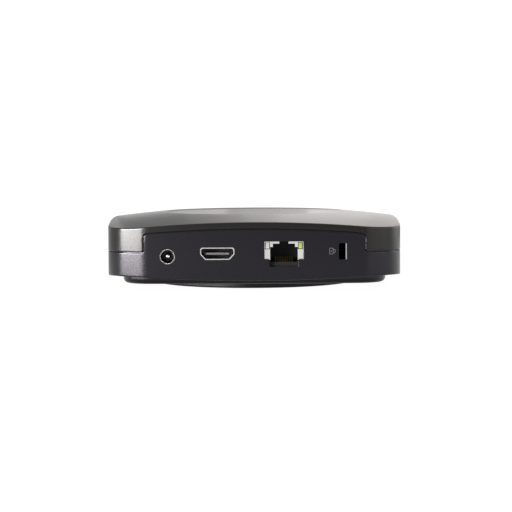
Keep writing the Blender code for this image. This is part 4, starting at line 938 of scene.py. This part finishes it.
# The panel on the -X side is dim right beside the object, so that its top doesn't flare from +X.
RIGHT_X, RIGHT_LEVEL, RIGHT_HEIGHT = -0.58, 0.22, 0.44
RIGHT_PANELS = ((-0.48, -0.10, 2.1), (-0.10, 0.10, 0.9), (0.10, 1.0, 2.0))  # start, end, radiance
for i, (start, end, radiance) in enumerate(RIGHT_PANELS):
    middle = (start + end) / 2
    panel = area_light(f"right_softbox_{i}", (RIGHT_X, middle, RIGHT_LEVEL),
                       (0.0, middle, RIGHT_LEVEL), (end - start, RIGHT_HEIGHT),
                       math.pi * (end - start) * RIGHT_HEIGHT * radiance)
    panel.visible_diffuse = False
    studio_lights.append(panel)

# The panel behind the object. Its foot is dimmest behind the middle, and above that it is dim on
# the +X side and bright on the -X side.
BACK_Y = -0.55
WARM_WHITE = (1.0, 0.95, 0.915)
BACK_STRIPS = (  # start, end, bottom, top, radiance
    (0.110, 0.020, 0.01, 0.10, 0.80),
    (0.020, -0.040, 0.01, 0.10, 0.26),
    (-0.040, -0.660, 0.01, 0.10, 0.95),
    (0.060, 0.035, 0.10, 0.54, 0.20),
    (0.035, 0.010, 0.10, 0.54, 0.40),
    (0.010, -0.020, 0.10, 0.54, 0.75),
    (-0.020, -0.100, 0.10, 0.54, 1.07),
    (-0.100, -0.660, 0.10, 0.54, 0.85),
)
for i, (start, end, bottom, top, radiance) in enumerate(BACK_STRIPS):
    middle, level = (start + end) / 2, (bottom + top) / 2
    strip = area_light(f"back_softbox_{i}", (middle, BACK_Y, level), (middle, 0.0, level),
                       (start - end, top - bottom),
                       math.pi * (start - end) * (top - bottom) * radiance, WARM_WHITE)
    strip.visible_diffuse = False
    studio_lights.append(strip)
for light in studio_lights:
    light.visible_camera = False


def floor_material():
    """Pale matt floor that shows nearly white, with only a faint shadow left on it."""
    material = varied("pale_floor", (0.80, 0.80, 0.80), 0.005, 0.8, 0.05, 3.0, 60.0, 0.02,
                      Specular_IOR_Level=0.0, Emission_Color=(1.0, 1.0, 1.0, 1.0),
                      Emission_Strength=0.42)
    tree = material.node_tree
    surface = tree.nodes["Principled BSDF"]
    output = tree.nodes["Material Output"]
    path = tree.nodes.new("ShaderNodeLightPath")
    share = tree.nodes.new("ShaderNodeMath")
    share.operation = "MULTIPLY"
    share.inputs[1].default_value = 0.9
    glow = tree.nodes.new("ShaderNodeEmission")
    glow.inputs["Strength"].default_value = 1.05
    choose = tree.nodes.new("ShaderNodeMixShader")
    tree.links.new(path.outputs["Is Camera Ray"], share.inputs[0])
    tree.links.new(share.outputs["Value"], choose.inputs["Fac"])
    tree.links.new(surface.outputs["BSDF"], choose.inputs[1])
    tree.links.new(glow.outputs["Emission"], choose.inputs[2])
    tree.links.new(choose.outputs["Shader"], output.inputs["Surface"])
    return material


def slab(name, x_span, y_span, z_span):
    """A plain box for the stage, from its spans along the axes."""
    corners = [(x_span[0], y_span[0]), (x_span[1], y_span[0]), (x_span[1], y_span[1]),
               (x_span[0], y_span[1])]
    return add_piece(name, mesh_from(name, lambda bm: skin(
        bm, [[(x, y, z) for x, y in corners] for z in z_span])))


floor = slab("studio_floor", (-0.5, 0.5), (-0.32, 0.62), (-0.02, -0.0002))
floor.data.materials.append(floor_material())

# A card beside the +X side keeps the left softbox off that side's front corner.
CARD = varied("card", (0.02, 0.02, 0.02), 0.01, 0.8, 0.05, 3.0, 60.0, 0.02,
              Specular_IOR_Level=0.0, Emission_Color=(1.0, 1.0, 1.0, 1.0),
              Emission_Strength=0.70)
card = slab("studio_card", (0.0672, 0.40), (-0.043, -0.042), (0.0, 0.24))
card.data.materials.append(CARD)
card.visible_camera = False

camera_data = bpy.data.cameras.new("camera")
camera_data.sensor_width = 36.0
camera_data.lens = 132.1
camera_data.shift_x = 0.0033
camera_data.shift_y = -0.0115
camera = bpy.data.objects.new("camera", camera_data)
camera.location = (0.0, 0.8617, 0.0645)
aim = Vector((0.0, 0.0, 0.014)) - Vector(camera.location)
level = aim.to_track_quat("-Z", "Y")
camera.rotation_euler = (level @ Quaternion((0.0, 0.0, 1.0), math.radians(-0.27))).to_euler()
bpy.context.scene.collection.objects.link(camera)
bpy.context.scene.camera = camera
bpy.context.scene.view_settings.view_transform = "Standard"
